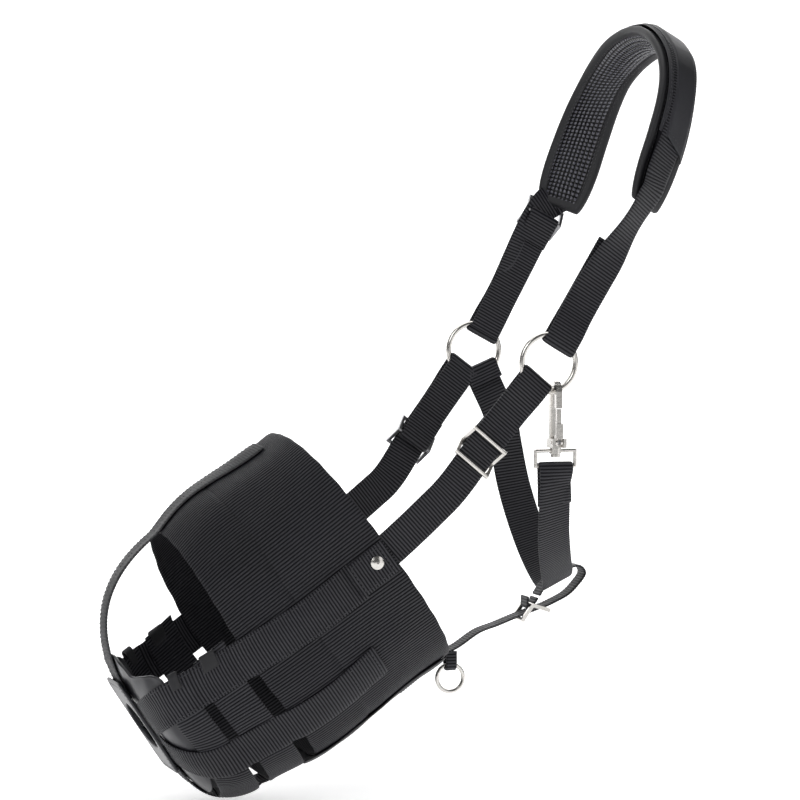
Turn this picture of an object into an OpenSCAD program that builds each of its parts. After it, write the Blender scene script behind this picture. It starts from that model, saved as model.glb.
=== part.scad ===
// Grazing muzzle: a webbing basket that hangs from a padded headstall.
// Frame: origin at the inner face of the crown pad, at the top of its arch.
// +Z is up, the nose points towards -X, the near side of the head is -Y.

/* [Basket] */
// Length of the mouth opening, from the nose side to the chin side
mouth_long = 198; // [192:1:206]
// Width of the mouth opening
mouth_wide = 168; // [162:1:172]
// Depth from the mouth to the floor
basket_depth = 195; // [188:1:205]
// How far the basket axis dips below the horizontal
basket_tilt = 36.4; // [34:0.2:39]
// Reach of the floor towards the nose
floor_nose = 93; // [89:1:97]
// Reach of the floor towards the chin
floor_chin = 86; // [82:1:90]
// Reach of the floor towards each side
floor_side = 66; // [60:1:70]
// Diameter of the feed hole in the floor
feed_hole_d = 38; // [25:1:39]

/* [Webbing] */
// Width of the headstall webbing
web_w = 25; // [24:0.5:26]
// Thickness of all webbing
web_t = 1.8; // [1.5:0.1:2]
// Width of the side straps of the basket
side_strap_w = 28; // [25:1:30]
// Width of the chin strap
chin_web_w = 16; // [14:1:18]

/* [Metal] */
// Outer diameter of the side rings
ring_od = 44; // [43:0.5:45]
// Wire diameter of the side rings
ring_wire = 4; // [3.6:0.1:4.2]
// Outer diameter of the chin ring
chin_ring_od = 23; // [21:1:25]
// Wire diameter of the chin ring
chin_ring_wire = 3; // [2.6:0.1:3.2]
// Diameter of the rivet heads
rivet_d = 9.5; // [8:0.5:11]

/* [Pad] */
// Thickness of the crown pad at its middle
pad_thick = 12; // [10:0.5:13]

/* [Hidden] */
$fn = 48;

WEB = [0.12, 0.12, 0.15];
SMOOTH = [0.25, 0.25, 0.29];
NICKEL = [0.78, 0.76, 0.74];
GUNMETAL = [0.40, 0.40, 0.42];

gap = 0.4;                       // between layers of cloth
layer = web_t + gap;             // pitch of the cloth layers
section_power = 2.5;             // squareness of the basket's sections
floor_slope = 0.055;             // rise of the floor towards the nose
belly = 3;                       // bulge of the basket wall at its sides
nose_belly = 6;                  // bulge of the basket wall at the nose
chin_belly = 6;                  // bulge of the basket wall at the chin
angle_step = 5;                  // step round the basket

mouth_mid = [-221.7, 0, -359]; // middle of the mouth opening
near_ring_at = [-108.5, -88, -227];
far_ring_at = [-102.5, 88, -224];
ring_mid_r = (ring_od - ring_wire) / 2;
fold_at = 15;                    // middle of a strap's fold, from the ring's middle

near_cheek_angle = 230;          // direction of the near cheek strap at its ring
far_cheek_angle = 233.7;
near_crown_angle = 59;
far_crown_angle = 61.5;
near_slide_run = 80;             // ring to slide along the strap
far_slide_run = 83;
crown_slide_run = 113.5;
travel_up = 10;                  // travel of a slide towards its ring
travel_down = 30;                // travel of a slide away from its ring
inner_stub = 22;                 // run of a strap's short inner end, from its ring
near_rivet_x = 3.5;               // place of each rivet across the basket's side
far_rivet_x = -2.5;
rivet_depth = 13;

bar_r = 1.5;                     // radius of a slide's bars
slide_long = 24;                 // over the outer bars, along the strap
bar_out = web_t / 2 + 0.3 + bar_r;           // outer bars, outward of the strap's middle
bar_in = web_t * 1.5 + 0.6 + bar_r;          // centre bar, inward of the strap's middle
return_in = layer;                           // return layer, inward of the strap's middle

snap_at = [-103.3, -88, 0];      // the snap's axis
arch_z = -247.1;                 // middle of the hook's arch
arch_r = 5.8;                    // radius of the hook's arch
hook_t = 3.6;
nose_z = -258.6;                 // lower end of the hook's nose
pivot_z = -282.4;                // the gate's pin
eye_top_z = -288.6;              // middle of the eye's upper bar
eye_low_z = -299.6;              // middle of the eye's lower bar
eye_w = 29.4;                    // between the middles of the eye's side bars
eye_bar_r = 1.3;

chin_slide_at = [-89.5, 0, -411.5];
chin_slide_angle = 18;
chin_ring_mid = (chin_ring_od - chin_ring_wire) / 2;

// ---------------------------------------------------------------- helpers

function unit(v) = v / norm(v);
function mix(a, b, k) = a + (b - a) * k;
function clamp01(k) = max(0, min(1, k));
function smooth_step(k) = let (c = clamp01(k)) c * c * (3 - 2 * c);

// Value at k in a list of [place, value] pairs, which rise in place
function lookup_pts(k, pts, i = 0) =
    i >= len(pts) - 2 || k < pts[i + 1][0]
        ? mix(pts[i][1], pts[i + 1][1], clamp01((k - pts[i][0]) / (pts[i + 1][0] - pts[i][0])))
        : lookup_pts(k, pts, i + 1);

// Catmull-Rom curve through the points p; k runs from 0 to len(p) - 1
function spline(p, k) =
    let (n = len(p), i = min(n - 2, floor(k)), t = k - i,
         a = p[max(0, i - 1)], b = p[i], c = p[i + 1], d = p[min(n - 1, i + 2)])
    0.5 * (2 * b + (c - a) * t + (2 * a - 5 * b + 4 * c - d) * t * t
        + (3 * b - a - 3 * c + d) * t * t * t);

function curve(p, steps) = [for (i = [0 : steps]) spline(p, i * (len(p) - 1) / steps)];

function tangents(p) =
    [for (i = [0 : len(p) - 1]) unit(p[min(len(p) - 1, i + 1)] - p[max(0, i - 1)])];
function reversed(l) = [for (i = [len(l) - 1 : -1 : 0]) l[i]];

// Closed solid between two grids of points: outer[i][j] and inner[i][j].
// The outward side is i direction x j direction. loop joins the last i to the first.
module slab(outer, inner, loop = false) {
    ni = len(outer);
    nj = len(outer[0]);
    last = loop ? ni - 1 : ni - 2;
    pts = concat([for (r = outer) each r], [for (r = inner) each r]);
    function o(i, j) = (i % ni) * nj + j;
    function n(i, j) = ni * nj + (i % ni) * nj + j;
    skin = [for (i = [0 : last], j = [0 : nj - 2])
        each [[o(i, j), o(i, j + 1), o(i + 1, j + 1)], [o(i, j), o(i + 1, j + 1), o(i + 1, j)],
              [n(i, j), n(i + 1, j + 1), n(i, j + 1)], [n(i, j), n(i + 1, j), n(i + 1, j + 1)]]];
    sides = [for (i = [0 : last])
        each [[o(i, 0), o(i + 1, 0), n(i + 1, 0)], [o(i, 0), n(i + 1, 0), n(i, 0)],
              [o(i, nj - 1), n(i, nj - 1), n(i + 1, nj - 1)],
              [o(i, nj - 1), n(i + 1, nj - 1), o(i + 1, nj - 1)]]];
    ends = loop ? [] : [for (j = [0 : nj - 2])
        each [[o(0, j), n(0, j), n(0, j + 1)], [o(0, j), n(0, j + 1), o(0, j + 1)],
              [o(ni - 1, j), n(ni - 1, j + 1), n(ni - 1, j)],
              [o(ni - 1, j), o(ni - 1, j + 1), n(ni - 1, j + 1)]]];
    polyhedron(points = pts, faces = concat(skin, sides, ends), convexity = 8);
}

// Flat strap along rows of [point, width direction]
module ribbon(rows, w, t) {
    n = len(rows);
    tan = tangents([for (r = rows) r[0]]);
    nor = [for (i = [0 : n - 1]) unit(cross(tan[i], rows[i][1]))];
    function row(i, h) = [for (s = [-1, 1]) rows[i][0] + s * w / 2 * rows[i][1] + h * nor[i]];
    slab([for (i = [0 : n - 1]) row(i, t / 2)], [for (i = [0 : n - 1]) row(i, -t / 2)]);
}

// ---------------------------------------------------------------- basket surface
// a is the angle round the basket: 0 nose, 90 far side, 180 chin, 270 near side.
// s is the place down it: 0 mouth, 1 top of the rounded corner, 2 edge of the floor, 3 its middle.

function section_r(a, p, q) =
    pow(pow(abs(cos(a)) / p, section_power) + pow(abs(sin(a)) / q, section_power), -1 / section_power);
floor_mid_x = (floor_nose - floor_chin) / 2;
floor_long = (floor_nose + floor_chin) / 2;
function floor_z(x) = basket_depth - floor_slope * x;
hole_x = -5.5;                   // middle of the feed hole
floor_mid = [hole_x, 0, floor_z(hole_x)];
function mouth_pt(a) = section_r(a, mouth_long / 2, mouth_wide / 2) * [cos(a), sin(a), 0];
function corner_pt(a) =
    let (r = section_r(a, floor_long, floor_side), x = floor_mid_x + r * cos(a))
    [x, r * sin(a), floor_z(x)];
// How far the rounded corner reaches up the wall and in along the floor
side_corner = 38;
nose_corner = 75;
chin_corner = 48;
function corner_run(a) = mix(side_corner, cos(a) > 0 ? nose_corner : chin_corner, pow(cos(a), 2));

function bulge(a) = mix(belly, cos(a) > 0 ? nose_belly : chin_belly, pow(cos(a), 2));
function wall_pt(a, s) =
    let (m = mouth_pt(a), f = corner_pt(a), down = unit(f - m), inward = unit(floor_mid - f),
         run = corner_run(a), wall = norm(f - m) - run,
         top = m + down * wall, low = f + inward * run)
    s <= 1 ? let (p = m + down * wall * s)
             p + unit([p.x, p.y, 0]) * bulge(a) * pow(sin(180 * pow(s, 1.8)), 1.4)
    : s <= 2 ? let (k = s - 1) (1 - k) * (1 - k) * top + 2 * k * (1 - k) * f + k * k * low
    : mix(low, floor_mid, s - 2);
function wall_normal(a, s) =
    let (lo = max(0, s - 0.02), hi = min(2.9, s + 0.02))
    unit(cross(wall_pt(a + 1, s) - wall_pt(a - 1, s), wall_pt(a, hi) - wall_pt(a, lo)));
function skin(a, s, off) = wall_pt(a, s) + off * wall_normal(a, s);

module in_basket() translate(mouth_mid) rotate([0, -90 - basket_tilt, 0]) children();
function from_basket(p) =
    mouth_mid + [-sin(basket_tilt) * p.x - cos(basket_tilt) * p.z, p.y,
                 cos(basket_tilt) * p.x - sin(basket_tilt) * p.z];

function steps(a, b, n) = [for (i = [0 : n]) mix(a, b, i / n)];

// Band round the basket between two angles, from s0 to s1, on cloth layer k
module band(s0, s1, rows, k, a0, a1) {
    as = steps(a0, a1, round((a1 - a0) / angle_step));
    in_basket()
        slab([for (a = as) [for (s = steps(s0, s1, rows)) skin(a, s, k * layer + web_t)]],
             [for (a = as) [for (s = steps(s0, s1, rows)) skin(a, s, k * layer)]]);
}

// Part of the collar, between two shares of its depth
collar_side = 124;               // depth of the collar at the basket's sides
collar_ends = 115.5;             // and at the nose and the chin
module collar(share0, share1) {
    as = steps(0, 360 - angle_step, 360 / angle_step - 1);
    function deep(a) = mix(collar_side, collar_ends, pow(abs(cos(a)), 1.5)) / (basket_depth - corner_run(a));
    function row(a, off) = [for (s = steps(share0, share1, 4)) skin(a, s * deep(a), off)];
    in_basket() slab([for (a = as) row(a, web_t)], [for (a = as) row(a, 0)], true);
}

// Strap down the basket on cloth layer k. at is a list of [s, angle].
module down_strap(s_list, at, w, k) {
    function row(s, off) =
        let (a = lookup_pts(s, at), rate = norm(wall_pt(a + 1, min(s, 2)) - wall_pt(a - 1, min(s, 2))) / 2,
             mid = wall_pt(a, s), side = unit(wall_pt(a + 1, 2) - wall_pt(a - 1, 2)))
        [for (u = [-1, -0.5, 0, 0.5, 1])
            s < 2 ? skin(a + u * w / 2 / rate, s, off)
                  : mid + u * w / 2 * side + [floor_slope, 0, 1] * off];
    in_basket()
        slab([for (j = [-2 : 2]) [for (s = s_list) row(s, k * layer + web_t)[j + 2]]],
             [for (j = [-2 : 2]) [for (s = s_list) row(s, k * layer)[j + 2]]]);
}

// ---------------------------------------------------------------- basket

band_split = 0.605;              // seam between the two collar bands, as a share of the collar
band_gap = 0.004;
// Edge of the floor panel: low at the nose windows, higher under the straps
function panel_edge(a) = 1.4 + 0.36 * smooth_step((cos(a) - 0.35) / 0.4) + 0.2 * max(0, -cos(a));
function hole_pt(a, r) = floor_mid + [r * cos(a), r * sin(a), -floor_slope * r * cos(a)];

module collar_rim_band() color(WEB) collar(0, band_split - band_gap);
module collar_lower_band() color(WEB) collar(band_split + band_gap, 1);
module weave_strap_upper() color(WEB) band(0.845, 1.03, 3, 0, 72, 288);
module weave_strap_lower() color(WEB) band(1.13, 1.50, 4, 0, 72, 288);

function floor_grid(a, k, off) =        // its edge is tucked inside the lower weave strap
    k <= 4 ? skin(a, mix(panel_edge(a), 2, k / 4), off - (k < 2 ? layer : 0))
           : mix(wall_pt(a, 2), hole_pt(a, feed_hole_d / 2), (k - 4) / 2)
             + off * unit([floor_slope, 0, 1]);
module floor_panel() {
    as = [for (i = [0 : 360 / angle_step - 1]) i * angle_step];
    color(SMOOTH) in_basket() slab([for (a = as) [for (k = [0 : 6]) floor_grid(a, k, web_t)]],
         [for (a = as) [for (k = [0 : 6]) floor_grid(a, k, 0)]], true);
}

module on_floor() in_basket() translate(floor_mid) rotate([0, atan(floor_slope), 0]) children();
patch_long = 78;
patch_wide = 44;
patch_t = 2.4;
patch_round = 6;
module floor_patch() color(SMOOTH) on_floor()
    translate([0, 0, 2 * layer]) difference() {
        linear_extrude(patch_t) offset(patch_round)
            square([patch_long - 2 * patch_round, patch_wide - 2 * patch_round], center = true);
        translate([0, 0, -1]) cylinder(h = patch_t + 2, d = feed_hole_d);
    }

strap_stops = [0.02, 0.14, 0.26, 0.38, 0.5, 0.62, 0.74, 0.86, 1, 1.12, 1.25, 1.37, 1.5, 1.62, 1.75, 1.88, 2];
side_line = [[0, 271.5], [0.5, 270], [0.75, 272.5], [1, 275], [1.45, 278], [2.5, 278]];
lower_line = [[0.25, 233.5], [0.5, 230.5], [1, 231], [1.5, 230], [2.4, 230]];
function mirrored(line) = [for (p = line) [p[0], 360 - p[1]]];

module near_side_strap() color(WEB) down_strap(concat(strap_stops, [2.1, 2.2]), side_line, side_strap_w, 1);
module far_side_strap() color(WEB)
    down_strap(concat(strap_stops, [2.1, 2.2]), mirrored(side_line), side_strap_w, 1);
lower_stops = concat([0.31], [for (s = strap_stops) if (s > 0.35) s]);
module near_lower_strap() color(WEB) down_strap(lower_stops, lower_line, web_w, 1);
module far_lower_strap() color(WEB) down_strap(lower_stops, mirrored(lower_line), web_w, 1);
module nose_strap() color(WEB)
    down_strap([for (s = strap_stops) if (s > 0.13) s], [[0, 0], [3, 0]], web_w, 1);
module chin_panel() color(SMOOTH) band(0.03, 0.84, 6, 1, 155, 205);
module chin_centre_strap() color(WEB)
    down_strap(concat([0.86], [for (s = strap_stops) if (s > 0.9) s], [2.25]),
        [[0, 180], [3, 180]], web_w, 1);

// ---------------------------------------------------------------- rivets

// Point on the basket's side at x and depth z, inside or outside of the wall by off
function side_wall(x, z, side, off) =
    let (a = 270 + atan(x / (mouth_wide / 2)), s = z / (basket_depth - side_corner), p = skin(a, s, off))
    from_basket([p.x, side * abs(p.y), p.z]);

module rivet(side, x) {
    p = side_wall(x, rivet_depth, side, 0);
    translate([p.x, p.y, p.z]) rotate([-90 * side, 0, 0]) children();
}
head_seat = 2 * web_t + gap + 0.15;
head_h = 2;
shank_d = 3;
shank_in = 4.2;                  // how far the shank reaches inside the basket
washer_t = 1;
washer_d = 10;
module rivet_caps() color(NICKEL) for (r = [[-1, near_rivet_x], [1, far_rivet_x]]) rivet(r[0], r[1]) {
    translate([0, 0, head_seat]) intersection() {
        translate([0, 0, head_h - rivet_d]) sphere(r = rivet_d);
        cylinder(h = head_h + 1, d = rivet_d);
    }
    translate([0, 0, -shank_in]) cylinder(h = head_seat + shank_in + 0.5, d = shank_d);
}
module rivet_washers() color(NICKEL) for (r = [[-1, near_rivet_x], [1, far_rivet_x]]) rivet(r[0], r[1])
    translate([0, 0, 0.1 - shank_in]) difference() {
        cylinder(h = washer_t, d = washer_d);
        translate([0, 0, -1]) cylinder(h = washer_t + 2, d = shank_d + 0.04);
    }

// ---------------------------------------------------------------- straps at the sides of the head

function dir(angle) = [cos(angle), 0, sin(angle)];
function across(angle) = [-sin(angle), 0, cos(angle)];
// Point at run l from the ring, h outward of the ring's plane
function out_pt(ring, angle, side, l, h) = ring + l * dir(angle) + [0, side * h, 0];

fold_h = ring_wire / 2 + gap + web_t / 2;   // cloth middle, from the ring's plane
near_run = 22;                   // a folded strap's layers close up from this run to far_run
far_run = 46;
function closing(l) = smooth_step((l - near_run) / (far_run - near_run));
// How far outward the outer layer lies at run l from the ring, and inward the inner layer
function outer_h(l) = fold_h * (1 - closing(l));
function inner_h(l) = mix(fold_h, return_in, closing(l));

// Rows from the strap's outer layer, round the fold in the ring, to the short inner end
function fold_rows(ring, angle, side, inner_end) = concat(
    [for (l = [far_run : -6 : near_run]) [out_pt(ring, angle, side, l, outer_h(l)), across(angle)]],
    [for (b = [90 : -22.5 : -90])
        [out_pt(ring, angle, side, fold_at - fold_h * cos(b), fold_h * sin(b)), across(angle)]],
    [for (l = [19 : 7 : inner_end]) [out_pt(ring, angle, side, l, -inner_h(l)), across(angle)]]);

function cheek_rows(ring, angle, side, run, rivet_x) =
    let (end = side_wall(rivet_x, rivet_depth + 20, side, -gap - web_t / 2),
         pin = side_wall(rivet_x, rivet_depth, side, -gap - web_t / 2),
         rim = side_wall(rivet_x + 1, 0.5, side, -gap - web_t / 2),
         straight = out_pt(ring, angle, side, run + travel_down + slide_long / 2, 0),
         mid = curve([straight, mix(straight, rim, 0.55) + [0, side * 1.2, 0], rim, pin, end], 16),
         line = concat([end], [for (i = [15 : -1 : 0]) mid[i]], [out_pt(ring, angle, side, run, 0)]),
         tan = tangents(line))
    concat([for (i = [0 : len(line) - 1]) [line[i], unit(cross([0, 1, 0], tan[i]))]],
           fold_rows(ring, angle, side, inner_stub));

module near_cheek_strap() color(WEB)
    ribbon(cheek_rows(near_ring_at, near_cheek_angle, -1, near_slide_run, near_rivet_x), web_w, web_t);
module far_cheek_strap() color(WEB)
    ribbon(cheek_rows(far_ring_at, far_cheek_angle, 1, far_slide_run, far_rivet_x), web_w, web_t);

// The strap's returned end, which loops round the slide's centre bar
bar_wrap = bar_r + 0.3 + web_t / 2;         // from a bar's middle to the middle of the cloth round it
module strap_return(ring, angle, side, run, start) color(WEB) {
    wrap = bar_wrap;
    tail = 22;
    rows = concat(
        [for (l = steps(start, run, 6)) [out_pt(ring, angle, side, l, -return_in), across(angle)]],
        [for (b = [67.5 : -22.5 : -90])
            [out_pt(ring, angle, side, run + wrap * cos(b), -bar_in + wrap * sin(b)), across(angle)]],
        [for (k = steps(0.25, 1, 3))
            [out_pt(ring, angle, side, run - tail * k,
                    mix(-bar_in - wrap, -return_in - layer, smooth_step(k))), across(angle)]]);
    ribbon(rows, web_w - 1, web_t);
}
stub_room = 4;                   // left between a strap's inner end and the return at the travel's end
return_from = inner_stub + travel_up + stub_room;
crown_return_from = inner_stub + travel_down + stub_room;
module near_cheek_return() strap_return(near_ring_at, near_cheek_angle, -1, near_slide_run, return_from);
module far_cheek_return() strap_return(far_ring_at, far_cheek_angle, 1, far_slide_run, return_from);
module crown_return() strap_return(far_ring_at, far_crown_angle, 1, crown_slide_run, crown_return_from);

// Three-bar slide: x along the strap, z outward, bars along y
rail_t = 2.2;
rail_room = 0.6;                 // from the strap's edge to a rail
module slide_frame(w) {
    inner = w / 2 + rail_room;
    reach = slide_long / 2 - bar_r;
    slope = atan2(bar_out + bar_in, reach);
    for (y = [-inner - rail_t, inner]) translate([0, y + rail_t, 0]) rotate([90, 0, 0])
        linear_extrude(rail_t) {
            for (x = [-reach, reach]) translate([x, bar_out]) circle(r = bar_r);
            translate([0, -bar_in]) circle(r = bar_r);
            for (m = [0, 1]) mirror([m, 0]) translate([0, -bar_in]) rotate(slope)
                translate([0, -bar_r * 0.9]) square([norm([reach, bar_out + bar_in]), bar_r * 1.8]);
        }
    for (x = [-reach, reach]) translate([x, 0, bar_out]) rotate([90, 0, 0])
        cylinder(h = 2 * inner + 1, r = bar_r, center = true);
    translate([0, 0, -bar_in]) rotate([90, 0, 0]) cylinder(h = 2 * inner + 1, r = bar_r, center = true);
}
module at_slide(ring, angle, side, run)
    translate(out_pt(ring, angle, side, run, 0)) rotate([0, -angle, 0]) rotate([side * -90, 0, 0]) children();
module near_cheek_slide() color(NICKEL)
    at_slide(near_ring_at, near_cheek_angle, -1, near_slide_run) slide_frame(web_w);
module far_cheek_slide() color(GUNMETAL)
    at_slide(far_ring_at, far_cheek_angle, 1, far_slide_run) slide_frame(web_w);
module crown_slide() color(GUNMETAL)
    at_slide(far_ring_at, far_crown_angle, 1, crown_slide_run) slide_frame(web_w);

module ring(at, mid_r, wire) translate(at) rotate([90, 0, 0])
    rotate_extrude() translate([mid_r, 0]) circle(d = wire);
module near_ring() color(NICKEL) ring(near_ring_at, ring_mid_r, ring_wire);
module far_ring() color(NICKEL) ring(far_ring_at, ring_mid_r, ring_wire);

// ---------------------------------------------------------------- crown pad
// t runs along the arch, from 0 at the near end to 16 at the far end.
// v runs across it, from -1 at the front edge to 1 at the rear edge.

front_half = [[-50, 96, -111], [-44, 96, -87], [-36, 95, -64], [-28, 91, -42], [-22, 82, -24],
    [-18, 67, -8], [-16, 45, 5], [-14, 21, 12], [-13, 0, 14]];
rear_half = [[-22, 74, -124], [-9, 75, -96], [0, 75, -70], [7, 70, -45], [12, 61, -27],
    [16, 48, -16], [18, 31, -9], [19, 14, -5], [19, 0, -5]];
function whole_arch(h) = concat([for (p = h) [p.x, -p.y, p.z]],
                                [for (i = [len(h) - 2 : -1 : 0]) h[i]]);
front_edge = whole_arch(front_half);
rear_edge = whole_arch(rear_half);
arch_end = 16;
function arch_pt(t, v) = mix(spline(front_edge, t), spline(rear_edge, t), (v + 1) / 2);
function arch_across(t) = unit(spline(rear_edge, t) - spline(front_edge, t));
function arch_normal(t) =
    let (lo = max(0, t - 0.2), hi = min(arch_end, t + 0.2),
         along = arch_pt(hi, 0) - arch_pt(lo, 0))
    unit(cross(arch_across(t), along));
// How full the pad is at t, v: 1 in its middle and less at its edges and ends
function fullness(t, v) =
    let (e = min(t, arch_end - t))
    (0.55 + 0.45 * sqrt(max(0, 1 - v * v * v * v))) * mix(0.6, 1, smooth_step(e / 1.2));
function pad_pt(t, v, h) = arch_pt(t, v) + h * arch_normal(t);
half_t = pad_thick / 2;

vs = [-1, -0.8, -0.45, 0, 0.45, 0.8, 1];
// Layer of the pad from height lo to hi, as shares of its fullness, shrunk by edge
module pad_layer(lo, hi, edge, t0, t1)
    slab([for (v = vs) [for (t = steps(t0, t1, 40)) pad_pt(t, v * (1 - edge), hi * fullness(t, v))]],
         [for (v = vs) [for (t = steps(t0, t1, 40)) pad_pt(t, v * (1 - edge), lo * fullness(t, v))]]);

lining_t = 1.2;
foam_room = 0.5;                 // between the foam and the cloth on each side of it
foam_edge = 0.09;                // how far the foam and the cloth stop short of the edge, across
cloth_edge = 0.05;
foam_end = 0.15;                 // and of the ends, along the arch
cloth_end = 0.1;
module pad_core() color(SMOOTH)
    pad_layer(-half_t + lining_t + foam_room, half_t - lining_t - foam_room, foam_edge,
        foam_end, arch_end - foam_end);
module pad_lining() color(WEB)
    pad_layer(-half_t, -half_t + lining_t, cloth_edge, cloth_end, arch_end - cloth_end);
module pad_cover() color(WEB)
    pad_layer(half_t - lining_t, half_t, cloth_edge, cloth_end, arch_end - cloth_end);

// Folded tape along both long edges
tape_half_w = 1.2;
tape_half_h = 3.2;
function edge_ring(t, e) = [for (b = [0 : 45 : 315])
    pad_pt(t, e * 0.99, 0) + arch_across(t) * tape_half_w * cos(b) + arch_normal(t) * tape_half_h * sin(b)];
module pad_binding() color(SMOOTH) for (e = [-1, 1])
    tube([for (t = steps(cloth_end, arch_end - cloth_end, 40)) edge_ring(t, e)]);

// Closed tube through rings of points
module tube(rows) {
    n = len(rows);
    m = len(rows[0]);
    function at(i, j) = i * m + j % m;
    wall = [for (i = [0 : n - 2], j = [0 : m - 1])
        each [[at(i, j), at(i, j + 1), at(i + 1, j + 1)], [at(i, j), at(i + 1, j + 1), at(i + 1, j)]]];
    caps = [for (j = [1 : m - 2]) each [[0, j + 1, j], [at(n - 1, 0), at(n - 1, j), at(n - 1, j + 1)]]];
    polyhedron(points = [for (r = rows) each r], faces = concat(wall, caps), convexity = 6);
}

// ---------------------------------------------------------------- crown strap

strap_over = half_t + gap + web_t / 2;      // strap's middle over the pad's middle surface
over_from = 0.5;                             // where the strap meets the pad's outer face
over_to = arch_end - over_from;
near_straight = 58;              // run at which the near strap leaves the ring's plane
far_straight = crown_slide_run + slide_long / 2 + 1;
function over_pt(t) = pad_pt(t, 0, strap_over);
// Side stretch, from run at out of the ring to the pad at t
function side_rows(ring, angle, side, run, t, inner_t, n) =
    let (start = out_pt(ring, angle, side, run, 0),
         p = [out_pt(ring, angle, side, run - 12, 0), start, over_pt(t), over_pt(inner_t)])
    [for (i = [0 : n - 1]) [spline(p, 1 + i / n), unit(mix(across(angle) * -1, arch_across(t), i / n))]];

near_up = [for (r = fold_rows(near_ring_at, near_crown_angle, -1, 99)) [r[0], -r[1]]];
far_up = [for (r = fold_rows(far_ring_at, far_crown_angle, 1, inner_stub)) [r[0], -r[1]]];

module crown_strap() color(WEB)
    ribbon(concat(
        reversed(near_up),
        side_rows(near_ring_at, near_crown_angle, -1, near_straight, over_from, over_from + 0.4, 10),
        [for (t = steps(over_from, over_to, 40)) [over_pt(t), arch_across(t)]],
        reversed(side_rows(far_ring_at, far_crown_angle, 1, far_straight, over_to, over_to - 0.4, 6)),
        far_up), web_w, web_t);

// Sleeve over the strap at the top of the pad
sleeve_lift = half_t + web_t + 2 * gap;
sleeve_t = 1;
sleeve_from = 1.7;               // near mouth of the sleeve, along the arch
sleeve_share = 0.95;             // share of the pad's width under the sleeve's stops
function sleeve_h(v) = abs(v) < 0.75 ? sleeve_lift : half_t + 0.3;
function sleeve_grid(off) =
    [for (v = [-0.9, -0.7, -0.35, 0, 0.35, 0.7, 0.9])
        [for (t = steps(sleeve_from, arch_end - sleeve_from, 36))
            pad_pt(t, v * sleeve_share, sleeve_h(v) + off)]];
module pad_sleeve() color(SMOOTH) slab(sleeve_grid(sleeve_t), sleeve_grid(0));

// ---------------------------------------------------------------- throat strap

throat_angle = -67;              // direction at the far ring
throat_line = [out_pt(far_ring_at, throat_angle, 1, 46, 0), [-79.5, 88, -280], [-76.5, 86, -300],
    [-74, 79, -324], [-71.5, 65, -348], [-70, 44, -370], [-69.5, 20, -386], [-71, -2, -391.5],
    [-77, -24, -386], [-87, -46, -372], [-96, -66, -353], [-101, -80, -333], [-103, -87.5, -315]];

module throat_strap() color(WEB) {
    line = curve(throat_line, 44);
    n = len(line);
    wrap = eye_bar_r + 0.3 + web_t / 2;
    eye = [snap_at.x, snap_at.y, eye_low_z];
    rows = concat(
        reversed(fold_rows(far_ring_at, throat_angle, 1, 30)),
        [for (i = [1 : n - 1]) [line[i], unit(mix(across(throat_angle), [1, 0, 0], smooth_step(i / n))
            + [0, 0.4 * clamp01(i / n - 0.4), 0.35 * pow(sin(180 * i / (n - 1)), 2)])]],
        [for (b = [180 : -30 : 0]) [eye + [0, wrap * cos(b), wrap * sin(b)], [1, 0, 0]]],
        [[eye + [0, wrap - 0.1, -8], [1, 0, 0]], [[-103, -85.3, -315], [1, 0, 0]],
         [[-101.3, -81.4, -327], [1, 0, 0]]]);
    ribbon(rows, web_w, web_t);
}

// ---------------------------------------------------------------- snap

module at_snap(z) translate([snap_at.x, snap_at.y, z]) children();
module cross_bar(h, r, z = 0) translate([0, 0, z]) rotate([0, 90, 0]) cylinder(h = h, r = r, center = true);

swivel_r = 2;                    // the hook's stem, which turns in the eye's boss
stem_flange_r = 3.4;
boss_r = 4.2;
boss_h = 4;
module snap_eye() color(NICKEL) {
    at_snap(0) difference() {
        union() {
            for (z = [eye_top_z, eye_low_z]) cross_bar(eye_w, eye_bar_r, z);
            for (x = [-eye_w / 2, eye_w / 2]) {
                translate([x, 0, eye_low_z]) cylinder(h = eye_top_z - eye_low_z, r = eye_bar_r);
                for (z = [eye_top_z, eye_low_z]) translate([x, 0, z]) sphere(r = eye_bar_r);
            }
            translate([0, 0, eye_top_z - boss_h / 2]) cylinder(h = boss_h, r = boss_r);
        }
        translate([0, 0, eye_top_z - boss_h]) cylinder(h = 2 * boss_h, r = swivel_r + 0.1);
    }
}

base_z = eye_top_z + boss_h / 2 + 0.3;      // underside of the hook's base
base_t = 1.6;
base_r = 4.8;
hook_w = 4.4;
cheek_t = 2.2;                   // the two cheeks that hold the gate's pin
cheek_x = 3;
cheek_y0 = -8.6;
cheek_long = 12;
cheek_h = 6.4;
pin_r = 1.03;
module at_gate_pin() translate([0, -arch_r, pivot_z]) children();
module snap_hook() color(NICKEL) {
    at_snap(0) difference() {
        union() {
            translate([0, 0, eye_top_z - 3]) cylinder(h = base_z - eye_top_z + 3.5, r = swivel_r);
            translate([0, 0, eye_top_z - boss_h / 2 - 2.4]) cylinder(h = 2, r = stem_flange_r);
            translate([0, 0, base_z]) cylinder(h = base_t, r = base_r);
            translate([-hook_w / 2, 0, base_z]) cube([hook_w, arch_r, base_t]);
            for (x = [-cheek_x - cheek_t, cheek_x])
                translate([x, cheek_y0, base_z]) cube([cheek_t, cheek_long, cheek_h]);
            translate([-hook_w / 2, arch_r - hook_t / 2, base_z]) cube([hook_w, hook_t, arch_z - base_z]);
            translate([0, 0, arch_z]) rotate([0, -90, 0]) rotate([0, 0, -90]) rotate_extrude(angle = 180)
                translate([arch_r, 0]) square([hook_t, hook_w], center = true);
            translate([-hook_w / 2, -arch_r - hook_t / 2, nose_z]) cube([hook_w, hook_t, arch_z - nose_z]);
        }
        at_gate_pin() cross_bar(20, pin_r + 0.02);
    }
}

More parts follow.
